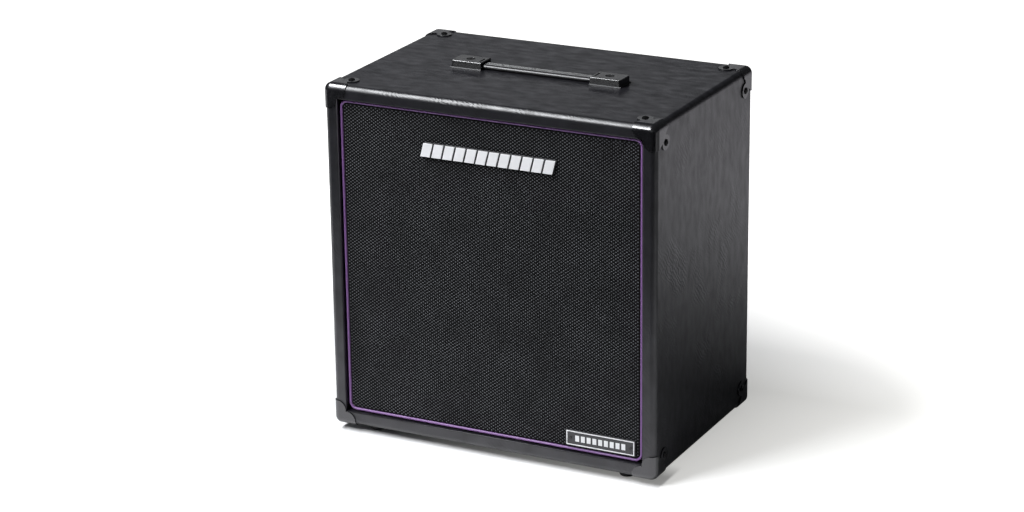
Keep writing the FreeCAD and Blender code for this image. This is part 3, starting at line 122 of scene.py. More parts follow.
class Finish:
    """A material with its Principled surface, and short calls for the nodes that several finishes use."""

    def __init__(self, name, roughness=0.5, metallic=0.0, specular=0.5):
        self.material = bpy.data.materials.new(name)
        self.material.use_nodes = True
        self.tree = self.material.node_tree
        self.surface = self.tree.nodes["Principled BSDF"]
        self.surface.inputs["Roughness"].default_value = roughness
        self.surface.inputs["Metallic"].default_value = metallic
        self.surface.inputs["Specular IOR Level"].default_value = specular
        self.place = self.tree.nodes.new("ShaderNodeTexCoord").outputs["Object"]

    def node(self, kind, **settings):
        item = self.tree.nodes.new(kind)
        for key, value in settings.items():
            setattr(item, key, value)
        return item

    def link(self, source, target):
        self.tree.links.new(source, target)

    def stretched(self, x, y, z):
        """Coordinates multiplied along each axis: a pattern gets longer where the number is small."""
        mapping = self.node("ShaderNodeMapping")
        mapping.inputs["Scale"].default_value = (x, y, z)
        self.link(self.place, mapping.inputs["Vector"])
        return mapping.outputs["Vector"]

    def noise(self, scale, detail=2.0, place=None):
        item = self.node("ShaderNodeTexNoise")
        item.inputs["Scale"].default_value = scale
        item.inputs["Detail"].default_value = detail
        self.link(place or self.place, item.inputs["Vector"])
        return item.outputs["Fac"]

    def waves(self, scale, direction, distortion=0.0):
        item = self.node("ShaderNodeTexWave", bands_direction=direction)
        item.inputs["Scale"].default_value = scale
        item.inputs["Distortion"].default_value = distortion
        self.link(self.place, item.inputs["Vector"])
        return item.outputs["Fac"]

    def math(self, operation, first, second):
        item = self.node("ShaderNodeMath", operation=operation)
        for socket, value in zip(item.inputs, (first, second)):
            if isinstance(value, (int, float)):
                socket.default_value = value
            else:
                self.link(value, socket)
        return item.outputs[0]

    def span(self, value, low, high, to_low=0.0, to_high=1.0):
        """A value taken from one span to another, held at the ends."""
        item = self.node("ShaderNodeMapRange")
        limits = {"From Min": low, "From Max": high, "To Min": to_low, "To Max": to_high}
        for label, number in limits.items():
            item.inputs[label].default_value = number
        self.link(value, item.inputs["Value"])
        return item.outputs["Result"]

    def mixed(self, share, first, second):
        """A colour between two colours, by a share from 0 to 1."""
        item = self.node("ShaderNodeMix", data_type="RGBA")
        item.inputs[MIX_FIRST].default_value = (*first, 1)
        item.inputs[MIX_SECOND].default_value = (*second, 1)
        self.link(share, item.inputs[MIX_SHARE])
        return item.outputs[MIX_RESULT]

    def colour(self, share, dark, light):
        self.link(self.mixed(share, dark, light), self.surface.inputs["Base Color"])

    def roughness(self, share, low, high):
        self.link(self.span(share, 0, 1, low, high), self.surface.inputs["Roughness"])

    def bump(self, height, distance, strength):
        """Adds relief, in metres of height, on top of any relief that is there already."""
        item = self.node("ShaderNodeBump")
        item.inputs["Distance"].default_value = distance
        item.inputs["Strength"].default_value = strength
        self.link(height, item.inputs["Height"])
        normal = self.surface.inputs["Normal"]
        if normal.is_linked:
            self.link(normal.links[0].from_socket, item.inputs["Normal"])
        self.link(item.outputs["Normal"], normal)


# Finishes

SPARK_RELIEF = 0.02 * MM
POLISHED_RELIEF = 0.004 * MM
RUBBER_RELIEF = 0.08 * MM
STRAP_RELIEF = 0.01 * MM
FINE_WEAVE = 167.118
COARSE_WEAVE = 220


def grained_vinyl():
    """Black vinyl: soft smears that run round the box, patches of fine wrinkles and a leather pebble."""
    finish = Finish("grained_vinyl", specular=0.55)
    along = finish.stretched(0.45, 1, 0.45)
    smears = finish.span(finish.noise(scale=95, detail=3, place=along), low=0.25, high=0.75)
    patches = finish.span(finish.noise(scale=13), low=0.48, high=0.6)
    wrinkles = finish.math("MULTIPLY", finish.waves(85, "DIAGONAL", distortion=9), patches)
    finish.colour(smears, dark=(0.001, 0.001, 0.002), light=(0.016, 0.0157, 0.0187))
    finish.roughness(smears, low=0.43, high=0.29)
    finish.bump(wrinkles, distance=0.16 * MM, strength=0.7)
    finish.bump(finish.noise(scale=1100, detail=3), distance=0.12 * MM, strength=0.6)
    return finish.material


def moulded_black(name, dark, light, roughness, specular=0.5, relief=SPARK_RELIEF):
    """Moulded plastic or a like black surface, with a fine spark texture and faint scuffs."""
    finish = Finish(name, roughness, specular=specular)
    scuffs = finish.noise(scale=70, detail=5)
    finish.colour(scuffs, dark, light)
    finish.roughness(scuffs, low=roughness - 0.06, high=roughness + 0.08)
    finish.bump(finish.noise(scale=2600, detail=1), relief, strength=0.5)
    return finish.material


def woven(name, scale, roughness, specular, dark, light, relief, strength):
    """Cloth whose threads cross upright and level."""
    finish = Finish(name, roughness, specular=specular)
    weave = finish.math("MULTIPLY", finish.waves(scale, "Z"), finish.waves(scale, "X"))
    finish.colour(weave, dark, light)
    finish.bump(weave, relief, strength)
    return finish.material


def woven_black():
    """The tight black ground of the grille cloth."""
    return woven(
        "woven_black",
        FINE_WEAVE,
        roughness=0.75,
        specular=0.1,
        dark=(0.002, 0.002, 0.0022),
        light=(0.005, 0.0053, 0.0056),
        relief=0.2 * MM,
        strength=0.7,
    )


def coarse_cloth(name, dark, light):
    return woven(
        name,
        COARSE_WEAVE,
        roughness=0.8,
        specular=0.25,
        dark=dark,
        light=light,
        relief=0.3 * MM,
        strength=0.6,
    )


def grey_yarn():
    """Light flecks of yarn that stand out of the grille cloth, a little paler in soft patches."""
    finish = Finish("grey_yarn", roughness=0.6, specular=0.4)
    patches = finish.span(finish.noise(scale=24), low=0.35, high=0.65)
    mottled = finish.math("MULTIPLY", finish.math("ADD", finish.noise(scale=400), patches), 0.5)
    finish.colour(mottled, dark=(0.024, 0.0254, 0.028), light=(0.088, 0.0922, 0.1))
    finish.bump(finish.noise(scale=2500, detail=1), distance=0.1 * MM, strength=0.5)
    return finish.material


def purple_cord():
    finish = Finish("purple_cord", roughness=0.42)
    finish.colour(finish.noise(scale=160, detail=3), dark=(0.142, 0.063, 0.2), light=(0.224, 0.112, 0.297))
    finish.bump(finish.noise(scale=1200, detail=1), distance=0.08 * MM, strength=0.5)
    return finish.material


def white_enamel():
    finish = Finish("white_enamel", roughness=0.32)
    finish.colour(finish.noise(scale=90, detail=3), dark=(0.66, 0.66, 0.67), light=(0.74, 0.74, 0.75))
    finish.bump(finish.noise(scale=700), distance=0.04 * MM, strength=0.4)
    return finish.material


def soft_rubber(name, dark, light, roughness, relief=RUBBER_RELIEF):
    finish = Finish(name, roughness)
    finish.colour(finish.noise(scale=120, detail=4), dark, light)
    finish.bump(finish.noise(scale=1500), relief, strength=0.5)
    return finish.material


def metal(name, dark, light, roughness, grain):
    """Bare or plated metal with a fine drawn grain."""
    finish = Finish(name, roughness, metallic=1.0)
    drawn = finish.noise(scale=grain, detail=3, place=finish.stretched(1, 1, 0.1))
    finish.colour(drawn, dark, light)
    finish.roughness(drawn, low=roughness - 0.08, high=roughness + 0.08)
    finish.bump(drawn, distance=0.02 * MM, strength=0.4)
    return finish.material


def raw_ply():
    """Plywood with a long grain."""
    finish = Finish("raw_ply", roughness=0.7, specular=0.3)
    grain = finish.noise(scale=60, detail=6, place=finish.stretched(0.12, 1, 1))
    finish.colour(grain, dark=(0.34, 0.2, 0.1), light=(0.6, 0.43, 0.26))
    finish.bump(grain, distance=0.3 * MM, strength=0.5)
    return finish.material


def pressed_paper():
    finish = Finish("pressed_paper", roughness=0.85, specular=0.2)
    finish.colour(finish.noise(scale=140, detail=6), dark=(0.018, 0.017, 0.016), light=(0.05, 0.047, 0.043))
    finish.bump(finish.noise(scale=900, detail=4), distance=0.2 * MM, strength=0.6)
    return finish.material


VINYL = grained_vinyl()
CORNER_PLASTIC = moulded_black(
    "corner_plastic", (0.004, 0.004, 0.005), (0.009, 0.009, 0.01), roughness=0.22, specular=0.85
)
CAP_PLASTIC = moulded_black(
    "cap_plastic",
    (0.004, 0.004, 0.0042),
    (0.009, 0.009, 0.0094),
    roughness=0.24,
    specular=0.8,
    relief=POLISHED_RELIEF,
)
CAP_GASKET = soft_rubber("cap_gasket", (0.01, 0.01, 0.011), (0.02, 0.02, 0.022), roughness=0.5)
BADGE_PLASTIC = moulded_black("badge_plastic", (0.02, 0.02, 0.022), (0.03, 0.03, 0.032), roughness=0.4)
# Near black painted as shade in the handle caps' recesses and on the lower badge's front faces.
PAINTED_SHADE_BLACK = moulded_black("painted_shade_black", (0.004, 0.004, 0.004), (0.008, 0.008, 0.008), roughness=0.3)
CLOTH = woven_black()
YARN = grey_yarn()
PIPING = purple_cord()
ENAMEL = white_enamel()
FOOT_RUBBER = soft_rubber("foot_rubber", (0.012, 0.012, 0.013), (0.03, 0.03, 0.031), roughness=0.7)
STRAP_RUBBER = soft_rubber(
    "strap_rubber", (0.005, 0.005, 0.006), (0.011, 0.011, 0.012), roughness=0.36, relief=STRAP_RELIEF
)
SCREW_BLACK = moulded_black(
    "screw_black", (0.002, 0.002, 0.002), (0.005, 0.005, 0.005), roughness=0.34, specular=0.16
)
ZINC = metal("zinc", (0.42, 0.42, 0.43), (0.62, 0.62, 0.63), roughness=0.38, grain=500)
CHROME = metal("chrome", (0.62, 0.62, 0.64), (0.75, 0.75, 0.77), roughness=0.16, grain=300)
BRASS = metal("brass", (0.62, 0.46, 0.2), (0.78, 0.6, 0.3), roughness=0.35, grain=400)
COPPER = metal("copper", (0.52, 0.22, 0.1), (0.7, 0.36, 0.2), roughness=0.35, grain=900)
FERRITE = moulded_black("ferrite", (0.03, 0.03, 0.032), (0.06, 0.06, 0.064), roughness=0.6)
BASKET_PAINT = moulded_black("basket_paint", (0.02, 0.02, 0.022), (0.04, 0.04, 0.043), roughness=0.45)
JACK_PLASTIC = moulded_black("jack_plastic", (0.012, 0.012, 0.013), (0.02, 0.02, 0.021), roughness=0.3)
PLY = raw_ply()
PAPER = pressed_paper()
SPIDER_CLOTH = coarse_cloth("spider_cloth", (0.3, 0.19, 0.07), (0.55, 0.38, 0.17))
GRIP_CLOTH = coarse_cloth("grip_cloth", (0.012, 0.012, 0.012), (0.03, 0.03, 0.03))
WIRE_RED = soft_rubber("wire_red", (0.3, 0.02, 0.02), (0.45, 0.04, 0.03), roughness=0.45)

SLOT_FINISH = {
    "board_wood": PLY,
    "black_vinyl": VINYL,
    "grille_fabric": CLOTH,
    "purple_piping": PIPING,
    "grip_fabric": GRIP_CLOTH,
    "black_plastic": CORNER_PLASTIC,
    "white_plastic": ENAMEL,
    "black_rubber": FOOT_RUBBER,
    "strap_rubber": STRAP_RUBBER,
    "black_screw": SCREW_BLACK,
    "plated_steel": ZINC,
    "basket_paint": BASKET_PAINT,
    "gasket_board": FOOT_RUBBER,
    "ferrite": FERRITE,
    "cone_paper": PAPER,
    "spider_cloth": SPIDER_CLOTH,
    "coil_copper": COPPER,
    "terminal_brass": BRASS,
    "jack_plastic": JACK_PLASTIC,
    "nut_chrome": CHROME,
    "wire_plastic": WIRE_RED,
}


def dress_frame():
    """Gives every CAD node the finish of its slot."""
    for name, item in frame["nodes"].items():
        item.data.materials.clear()
        item.data.materials.append(SLOT_FINISH[slot_of_node[name]])


# Pieces made from the CAD nodes, with their edges softened

SMOOTH_ANGLE = math.radians(35)
FLAT_ANGLE = math.radians(0.5)
MERGE_REACH = 0.002 * MM
ON_PLANE = 0.05 * MM
ROUND_PROFILE = 0.5


def new_piece(name, mesh, finish):
    mesh.materials.clear()
    mesh.materials.append(finish)
    piece = bpy.data.objects.new(name, mesh)
    bpy.context.collection.objects.link(piece)
    return piece


def smooth(mesh):
    """Smooth shading, with hard edges where the faces meet at an angle."""
    for face in mesh.polygons:
        face.use_smooth = True
    mesh.set_sharp_from_angle(angle=SMOOTH_ANGLE)


def mesh_of(form, name):
    """A smooth mesh of a form, which is freed."""
    mesh = bpy.data.meshes.new(name)
    form.to_mesh(mesh)
    form.free()
    smooth(mesh)
    return mesh


def apply_modifiers(piece):
    """Makes the result of a piece's modifiers its plain mesh."""
    result = piece.evaluated_get(bpy.context.evaluated_depsgraph_get())
    mesh = bpy.data.meshes.new_from_object(result)
    piece.modifiers.clear()
    piece.data = mesh


def softened(node, finish, radius, choose=None, segments=2):
    """A copy of a CAD node with its sharp edges rounded, or only those that choose accepts."""
    form = bmesh.new()
    form.from_mesh(frame["nodes"][node].data)
    bmesh.ops.remove_doubles(form, verts=form.verts, dist=MERGE_REACH)
    bmesh.ops.dissolve_limit(form, angle_limit=FLAT_ANGLE, verts=form.verts, edges=form.edges)
    sharp = [edge for edge in form.edges if edge.is_manifold and edge.calc_face_angle() > SMOOTH_ANGLE]
    chosen = [edge for edge in sharp if choose is None or choose(edge)]
    if chosen:
        bmesh.ops.bevel(
            form,
            geom=chosen,
            offset=radius,
            segments=segments,
            profile=ROUND_PROFILE,
            affect="EDGES",
            clamp_overlap=True,
        )
    name = node + "_softened"
    piece = new_piece(name, mesh_of(form, name), finish)
    flat_faces = piece.modifiers.new("flat_faces", "WEIGHTED_NORMAL")
    flat_faces.keep_sharp = True
    apply_modifiers(piece)
    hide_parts(node)
    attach(piece, body_of_node[node])
    return piece


# Geometry Nodes helper

class Tree:
    """A Geometry Nodes tree with named number inputs and one material input."""

    def __init__(self, name, numbers, takes_points):
        self.group = bpy.data.node_groups.new(name, "GeometryNodeTree")
        if takes_points:
            self.group.interface.new_socket("Points", in_out="INPUT", socket_type="NodeSocketGeometry")
        for label in numbers:
            self.group.interface.new_socket(label, in_out="INPUT", socket_type="NodeSocketFloat")
        self.group.interface.new_socket("Finish", in_out="INPUT", socket_type="NodeSocketMaterial")
        self.group.interface.new_socket("Result", in_out="OUTPUT", socket_type="NodeSocketGeometry")
        self.entry = self.node("NodeGroupInput")
        self.exit = self.node("NodeGroupOutput")

    def node(self, kind, **settings):
        item = self.group.nodes.new(kind)
        for key, value in settings.items():
            setattr(item, key, value)
        return item

    def feed(self, target, value):
        """Sets a socket to a constant, a named input, or another node's output."""
        if isinstance(value, str):
            value = self.entry.outputs[value]
        if isinstance(value, bpy.types.NodeSocket):
            self.group.links.new(value, target)
        else:
            target.default_value = value

    def math(self, operation, first, second):
        item = self.node("ShaderNodeMath", operation=operation)
        self.feed(item.inputs[0], first)
        self.feed(item.inputs[1], second)
        return item.outputs[0]

    def vector(self, x, y, z):
        item = self.node("ShaderNodeCombineXYZ")
        for socket, value in zip(item.inputs, (x, y, z)):
            self.feed(socket, value)
        return item.outputs[0]

    def moved(self, geometry, offset):
        item = self.node("GeometryNodeTransform")
        self.feed(item.inputs["Geometry"], geometry)
        self.feed(item.inputs["Translation"], offset)
        return item.outputs["Geometry"]

    def close(self, geometry):
        """Ends the tree: real geometry in the given material."""
        real = self.node("GeometryNodeRealizeInstances")
        self.feed(real.inputs["Geometry"], geometry)
        paint = self.node("GeometryNodeSetMaterial")
        self.feed(paint.inputs["Geometry"], real.outputs["Geometry"])
        self.feed(paint.inputs["Material"], "Finish")
        self.feed(self.exit.inputs["Result"], paint.outputs["Geometry"])

    def grow(self, name, sizes, finish, slot, points=None):
        """A plain mesh piece from the tree, with its sizes given by name."""
        seed = points or bpy.data.meshes.new(name)
        piece = new_piece(name, seed, finish)
        modifier = piece.modifiers.new(name, "NODES")
        modifier.node_group = self.group
        for socket in self.group.interface.items_tree:
            if socket.in_out == "INPUT" and socket.name in sizes:
                modifier[socket.identifier] = float(sizes[socket.name])
            if socket.in_out == "INPUT" and socket.name == "Finish":
                modifier[socket.identifier] = finish
        apply_modifiers(piece)
        smooth(piece.data)
        return piece


# Cross-head screws

CROSS_LENGTH = 1.15
CROSS_WIDTH = 0.24
CROSS_DEPTH = 0.55
TURN_PER_SCREW = 1.9


def domed_head(tree):
    """A round head that stands on its seat, with a top that falls towards its rim."""
    drum = tree.node("GeometryNodeMeshCylinder", fill_type="TRIANGLE_FAN")
    for label, value in (("Vertices", 28), ("Side Segments", 2), ("Fill Segments", 3)):
        drum.inputs[label].default_value = value
    tree.feed(drum.inputs["Radius"], "Head Radius")
    tree.feed(drum.inputs["Depth"], "Head Height")
    half_height = tree.math("MULTIPLY", "Head Height", 0.5)
    raised = tree.moved(drum.outputs["Mesh"], tree.vector(0.0, 0.0, half_height))
    parts = tree.node("ShaderNodeSeparateXYZ")
    tree.feed(parts.inputs[0], tree.node("GeometryNodeInputPosition").outputs[0])
    reach = tree.node("ShaderNodeVectorMath", operation="LENGTH")
    tree.feed(reach.inputs[0], tree.vector(parts.outputs["X"], parts.outputs["Y"], 0.0))
    share = tree.math("DIVIDE", reach.outputs["Value"], "Head Radius")
    fall = tree.math("MULTIPLY", tree.math("MULTIPLY", share, share), "Dome")
    level = tree.math("DIVIDE", parts.outputs["Z"], "Head Height")
    lowered = tree.math("MULTIPLY", tree.math("MULTIPLY", fall, level), -1.0)
    dome = tree.node("GeometryNodeSetPosition")
    tree.feed(dome.inputs["Geometry"], raised)
    tree.feed(dome.inputs["Offset"], tree.vector(0.0, 0.0, lowered))
    return dome.outputs["Geometry"]


def cross_bars(tree):
    """The two bars that cut the cross into the top of a head."""
    bars = []
    for x_size, y_size in (("Recess Length", "Recess Width"), ("Recess Width", "Recess Length")):
        bar = tree.node("GeometryNodeMeshCube")
        depth = tree.math("MULTIPLY", "Recess Depth", 2.0)
        tree.feed(bar.inputs["Size"], tree.vector(x_size, y_size, depth))
        bars.append(tree.moved(bar.outputs["Mesh"], tree.vector(0.0, 0.0, "Head Height")))
    return bars


def point_turn(tree):
    """The rotation of each point: it faces along its own direction, and is spun round that."""
    facing = tree.node("GeometryNodeInputNamedAttribute", data_type="FLOAT_VECTOR")
    facing.inputs["Name"].default_value = "facing"
    aim = tree.node("FunctionNodeAlignRotationToVector", axis="Z")
    tree.feed(aim.inputs["Vector"], facing.outputs["Attribute"])
    spin = tree.node("GeometryNodeInputNamedAttribute", data_type="FLOAT")
    spin.inputs["Name"].default_value = "spin"
    twist = tree.node("FunctionNodeAxisAngleToRotation")
    twist.inputs["Axis"].default_value = (0, 0, 1)
    tree.feed(twist.inputs["Angle"], spin.outputs["Attribute"])
    turned = tree.node("FunctionNodeRotateRotation", rotation_space="LOCAL")
    tree.feed(turned.inputs[0], aim.outputs[0])
    tree.feed(turned.inputs[1], twist.outputs[0])
    return turned.outputs[0]


def cross_head_tree():
    """Domed screw heads with a cross recess, one at each point."""
    sizes = ("Head Radius", "Head Height", "Dome", "Recess Length", "Recess Width", "Recess Depth")
    tree = Tree("cross_heads", sizes, takes_points=True)
    carve = tree.node("GeometryNodeMeshBoolean", operation="DIFFERENCE")
    tree.feed(carve.inputs["Mesh 1"], domed_head(tree))
    for bar in cross_bars(tree):
        tree.feed(carve.inputs["Mesh 2"], bar)
    scatter = tree.node("GeometryNodeInstanceOnPoints")
    tree.feed(scatter.inputs["Points"], "Points")
    tree.feed(scatter.inputs["Instance"], carve.outputs["Mesh"])
    tree.feed(scatter.inputs["Rotation"], point_turn(tree))
    tree.close(scatter.outputs["Instances"])
    return tree


CROSS_HEADS = cross_head_tree()


def facing_points(name, places):
    """A mesh of single points, each with the direction that it faces and its own turn."""
    mesh = bpy.data.meshes.new(name)
    mesh.from_pydata([place for place, direction in places], [], [])
    mesh.attributes.new("facing", "FLOAT_VECTOR", "POINT")
    mesh.attributes.new("spin", "FLOAT", "POINT")
    for index, (place, direction) in enumerate(places):
        mesh.attributes["facing"].data[index].vector = direction
        mesh.attributes["spin"].data[index].value = index * TURN_PER_SCREW
    return mesh


def screws(name, node, places, radius, height, dome):
    """Cross-head screws at the places, in the finish of a CAD node, whose plain screws they replace."""
    sizes = {
        "Head Radius": radius,
        "Head Height": height,
        "Dome": dome,
        "Recess Length": CROSS_LENGTH * radius,
        "Recess Width": CROSS_WIDTH * radius,
        "Recess Depth": CROSS_DEPTH * height,
    }
    slot = slot_of_node[node]
    piece = CROSS_HEADS.grow(name, sizes, SLOT_FINISH[slot], slot, facing_points(name, places))
    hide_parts(node)
    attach(piece, body_of_node[node])


# Grille: the cloth over its frame with rows of yarn flecks, and the piping

CLOTH_ROUND = 1.5 * MM
YARN_MARGIN = 1.5 * MM
COLUMN_PITCH = 5.95 * MM
ROW_PITCH = 2.16 * MM
FLECK_LENGTH = 2.4 * MM
FLECK_WIDTH = 1.7 * MM
FLECK_RISE = 0.5 * MM
FLECK_TOP = 0.45
ROW_SHIFT = {"even": -0.25, "odd": 0.25}


def yarn_tree():
    """Flecks of yarn in every other row of an upright rectangle, shifted by a share of a step."""
    field_sizes = ("Width", "Height", "Column Pitch", "Row Pitch", "Shift")
    fleck_sizes = ("Fleck Length", "Fleck Width", "Fleck Rise")
    tree = Tree("yarn_rows", field_sizes + fleck_sizes, takes_points=False)
    fleck = tree.node("GeometryNodeMeshCone", fill_type="NGON")
    fleck_form = (
        ("Vertices", 6),
        ("Side Segments", 1),
        ("Radius Top", FLECK_TOP),
        ("Radius Bottom", 1.0),
        ("Depth", 1.0),
    )
    for label, value in fleck_form:
        fleck.inputs[label].default_value = value
    shape = tree.node("GeometryNodeTransform")
    tree.feed(shape.inputs["Geometry"], fleck.outputs["Mesh"])
    half_length = tree.math("MULTIPLY", "Fleck Length", 0.5)
    half_width = tree.math("MULTIPLY", "Fleck Width", 0.5)
    tree.feed(shape.inputs["Scale"], tree.vector(half_length, half_width, "Fleck Rise"))
    row_step = tree.math("MULTIPLY", "Row Pitch", 2.0)
    columns = tree.math("FLOOR", tree.math("DIVIDE", "Width", "Column Pitch"), 0.0)
    rows = tree.math("FLOOR", tree.math("DIVIDE", "Height", row_step), 0.0)
    field = tree.node("GeometryNodeMeshGrid")
    for axis, count, step in (("X", columns, "Column Pitch"), ("Y", rows, row_step)):
        reach = tree.math("MULTIPLY", tree.math("SUBTRACT", count, 1.0), step)
        tree.feed(field.inputs[f"Size {axis}"], reach)
        tree.feed(field.inputs[f"Vertices {axis}"], count)
    across = tree.math("MULTIPLY", "Column Pitch", "Shift")
    up = tree.math("MULTIPLY", row_step, "Shift")
    scatter = tree.node("GeometryNodeInstanceOnPoints")
    tree.feed(scatter.inputs["Points"], tree.moved(field.outputs["Mesh"], tree.vector(across, up, 0.0)))
    tree.feed(scatter.inputs["Instance"], shape.outputs["Geometry"])
    upright = tree.node("GeometryNodeTransform")
    tree.feed(upright.inputs["Geometry"], scatter.outputs["Instances"])
    upright.inputs["Rotation"].default_value = (math.pi / 2, 0, 0)
    tree.close(upright.outputs["Geometry"])
    return tree


def make_grille():
    low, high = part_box("grille_cloth")

    def front_edge(edge):
        return all(abs(vertex.co.y - low.y) < ON_PLANE for vertex in edge.verts)

    sheet = softened("grille_cloth", CLOTH, CLOTH_ROUND, front_edge, segments=4)
    sizes = {
        "Width": high.x - low.x - 2 * YARN_MARGIN,
        "Height": high.z - low.z - 2 * YARN_MARGIN,
        "Column Pitch": COLUMN_PITCH,
        "Row Pitch": ROW_PITCH,
        "Fleck Length": FLECK_LENGTH,
        "Fleck Width": FLECK_WIDTH,
        "Fleck Rise": FLECK_RISE,
    }
    rows = yarn_tree()
    to_cloth = Matrix.Translation(((low.x + high.x) / 2, low.y, (low.z + high.z) / 2))
    for kind, shift in ROW_SHIFT.items():
        flecks = rows.grow(f"grille_yarn_{kind}", {**sizes, "Shift": shift}, YARN, "grille_fabric")
        flecks.data.transform(to_cloth)
        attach(flecks, "cabinet")


def make_piping():
    """The piping keeps its CAD form, with no edge rounded, and gets smooth shading."""
    softened("grille_piping", PIPING, 0.0, lambda edge: False)


# Strap of the handle: a soft ribbed bar in straight lengths, in place of the CAD lengths

STRAP_RIBS = 4
RIB_STEPS = 6
RIB_DEPTH = 0.6 * MM
GROOVE_POWER = 6
EDGE_REACH = 3.4 * MM
EDGE_DROP = 3.2 * MM
EDGE_STEPS = 6
BEND_REACH = 9 * MM
MOUTH_REACH = 2.4 * MM
HIDDEN_REACH = 8 * MM
STRAP_STEP = 2 * MM
END_ROUND_SHARE = 0.95
LEAST_LONG_EDGE = 5 * MM
LEAST_OUTER_EDGE = 8 * MM


def strap_profile(low, high):
    """Outline of the strap across its width: well rounded upper edges and grooves along the top."""
    half = (high.y - low.y) / 2
    foot = high.z - low.z - EDGE_DROP
    flat = half - EDGE_REACH
    shoulder = high.z - EDGE_DROP
    turns = [math.pi / 2 * index / EDGE_STEPS for index in range(EDGE_STEPS + 1)]
    edge = []
    for turn in turns:
        edge.append((half - foot + foot * math.sin(turn), low.z + foot - foot * math.cos(turn)))
    for turn in turns[1:]:
        edge.append((flat + EDGE_REACH * math.cos(turn), shoulder + EDGE_DROP * math.sin(turn)))
    top_steps = RIB_STEPS * STRAP_RIBS
    top = []
    for index in range(1, top_steps):
        along = index / top_steps
        groove = max(0.0, math.cos(2 * math.pi * STRAP_RIBS * along)) ** GROOVE_POWER
        top.append((flat - 2 * flat * along, high.z - RIB_DEPTH * groove))
    return edge + top + [(-y, z) for y, z in reversed(edge)]


def swept(profile, start, end):
    """A closed bar along X with the profile in Y and Z."""
    form = bmesh.new()
    steps = max(1, round(abs(end - start) / STRAP_STEP))
    rings = []
    for index in range(steps + 1):
        x = start + (end - start) * index / steps
        rings.append([form.verts.new((x, y, z)) for y, z in profile])
    for before, after in zip(rings, rings[1:]):
        for index in range(len(profile)):
            following = (index + 1) % len(profile)
            form.faces.new((before[index], after[index], after[following], before[following]))
    form.faces.new(rings[0])
    form.faces.new(reversed(rings[-1]))
    bmesh.ops.recalc_face_normals(form, faces=form.faces)
    return form


def along_strap(edge):
    """Long outer edges of a strap end."""
    first, second = (vertex.co for vertex in edge.verts)
    return abs(first.x - second.x) > LEAST_LONG_EDGE and abs(first.y) > LEAST_OUTER_EDGE


def make_strap():
    """Each half of the strap: a rounded copy of its CAD end, and two straight lengths in place of the CAD
    middle and arm.
    """
    middle_low, middle_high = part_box("strap_centre")
    arm_low, arm_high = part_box("strap_arm_right")
    half_thick = (middle_high.z - middle_low.z) / 2
    inner_bend = arm_low.x + half_thick
    outer_bend = arm_high.x - half_thick
    mid_arm = (inner_bend + outer_bend) / 2
    hidden_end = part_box("handle_cap_right")[0].x + HIDDEN_REACH
    profile = strap_profile(middle_low, middle_high)
    for hand, side in SIDE_OF_HAND.items():
        arm = f"strap_arm_{hand}"
        strap_end = f"strap_end_{hand}"
        softened(strap_end, STRAP_RUBBER, END_ROUND_SHARE * half_thick, along_strap)
        lengths = (
            ("inner", 0.0, mid_arm, "strap_centre", arm, inner_bend, BEND_REACH),
            ("outer", mid_arm, hidden_end, arm, strap_end, outer_bend, MOUTH_REACH),
        )
        for part, start, end, near_body, far_body, bend, reach in lengths:
            name = f"strap_{part}_{hand}"
            form = swept(profile, side * start, side * end)
            piece = new_piece(name, mesh_of(form, name), STRAP_RUBBER)
            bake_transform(piece)
            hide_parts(near_body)


# Stage: pale floor, whose glow is for the camera and for reflections alone, and soft lights

FLOOR_SIZE = 40
PAPER_COLOUR = (0.8, 0.8, 0.8)
NO_COLOUR = (0.0, 0.0, 0.0)
BOUNCE_FRONT = -0.6
SHADE_LEAN = 0.15
SHADE_START = -0.14
SHADE_END = 0.44
NEAR_GLOW = 0.84
SHADE_TINT = (1.0, 0.995, 0.965)
UNDER_EDGE = 0.004
UNDER_REACH = 0.04
UNDER_LOSS = 0.6
FRONT_NEAR = -0.2
FRONT_GLOW = 0.6
FAR_START = 0.2
FAR_END = 0.6
FAR_GLOW = 0.85
DIM_MOST = 0.45
DIM_START = 0.4
DIM_END = 1.0
BEHIND_START = 0.5
BEHIND_END = 1.1
BEHIND_GLOW = 0.43
MIRROR_TINT = (0.965, 0.92, 1.0)
LAMP_COLOUR = (0.96, 0.975, 1.0)
LAMPS = (
    # name, place, point that it faces, way that its tall side runs, width, height, watts
    ("key_left_front", (-0.98, -1.09, 2.07), (0.0, 0.0, 0.3), (-0.34, 0.84, 0.43), 0.38, 2.2, 112),
    ("back_left", (-1.52, 3.0, 1.42), (0.0, 0.0, 0.35), (0, 0, 1), 1.35, 0.5, 1.4),
    ("front_fill", (0.6, -3.2, 1.2), (0.0, 0.0, 0.25), (0, 0, 1), 2.0, 1.4, 3),
)
ROOM_COLOUR = (0.9, 0.93, 1.0, 1)
ROOM_STRENGTH = 0.06
BACKDROP_COLOUR = (1, 1, 1, 1)


def paper_brightness(finish, depth, rays):
    """Share of the paper's tone: all for the camera, else none far in front and less in mirrors behind."""
    lit = finish.math("GREATER_THAN", depth, BOUNCE_FRONT)
    dimmed = finish.span(depth, DIM_START, DIM_END, DIM_MOST, 0.0)
    dimmed = finish.math("MULTIPLY", dimmed, finish.math("GREATER_THAN", depth, cad_high.y))
    dimmed = finish.math("MULTIPLY", dimmed, rays["Is Glossy Ray"])
    lit = finish.math("MULTIPLY", lit, finish.math("SUBTRACT", 1.0, dimmed))
    return finish.math("MAXIMUM", lit, rays["Is Camera Ray"])


def distance_from_cabinet(finish, across, depth):
    """How far a place on the floor lies outside the cabinet's outline."""
    squares = []
    for place, half in ((across, cad_high.x), (depth, cad_high.y)):
        outside = finish.math("SUBTRACT", finish.math("ABSOLUTE", place, 0.0), half)
        outside = finish.math("MAXIMUM", outside, 0.0)
        squares.append(finish.math("MULTIPLY", outside, outside))
    return finish.math("SQRT", finish.math("ADD", *squares), 0.0)


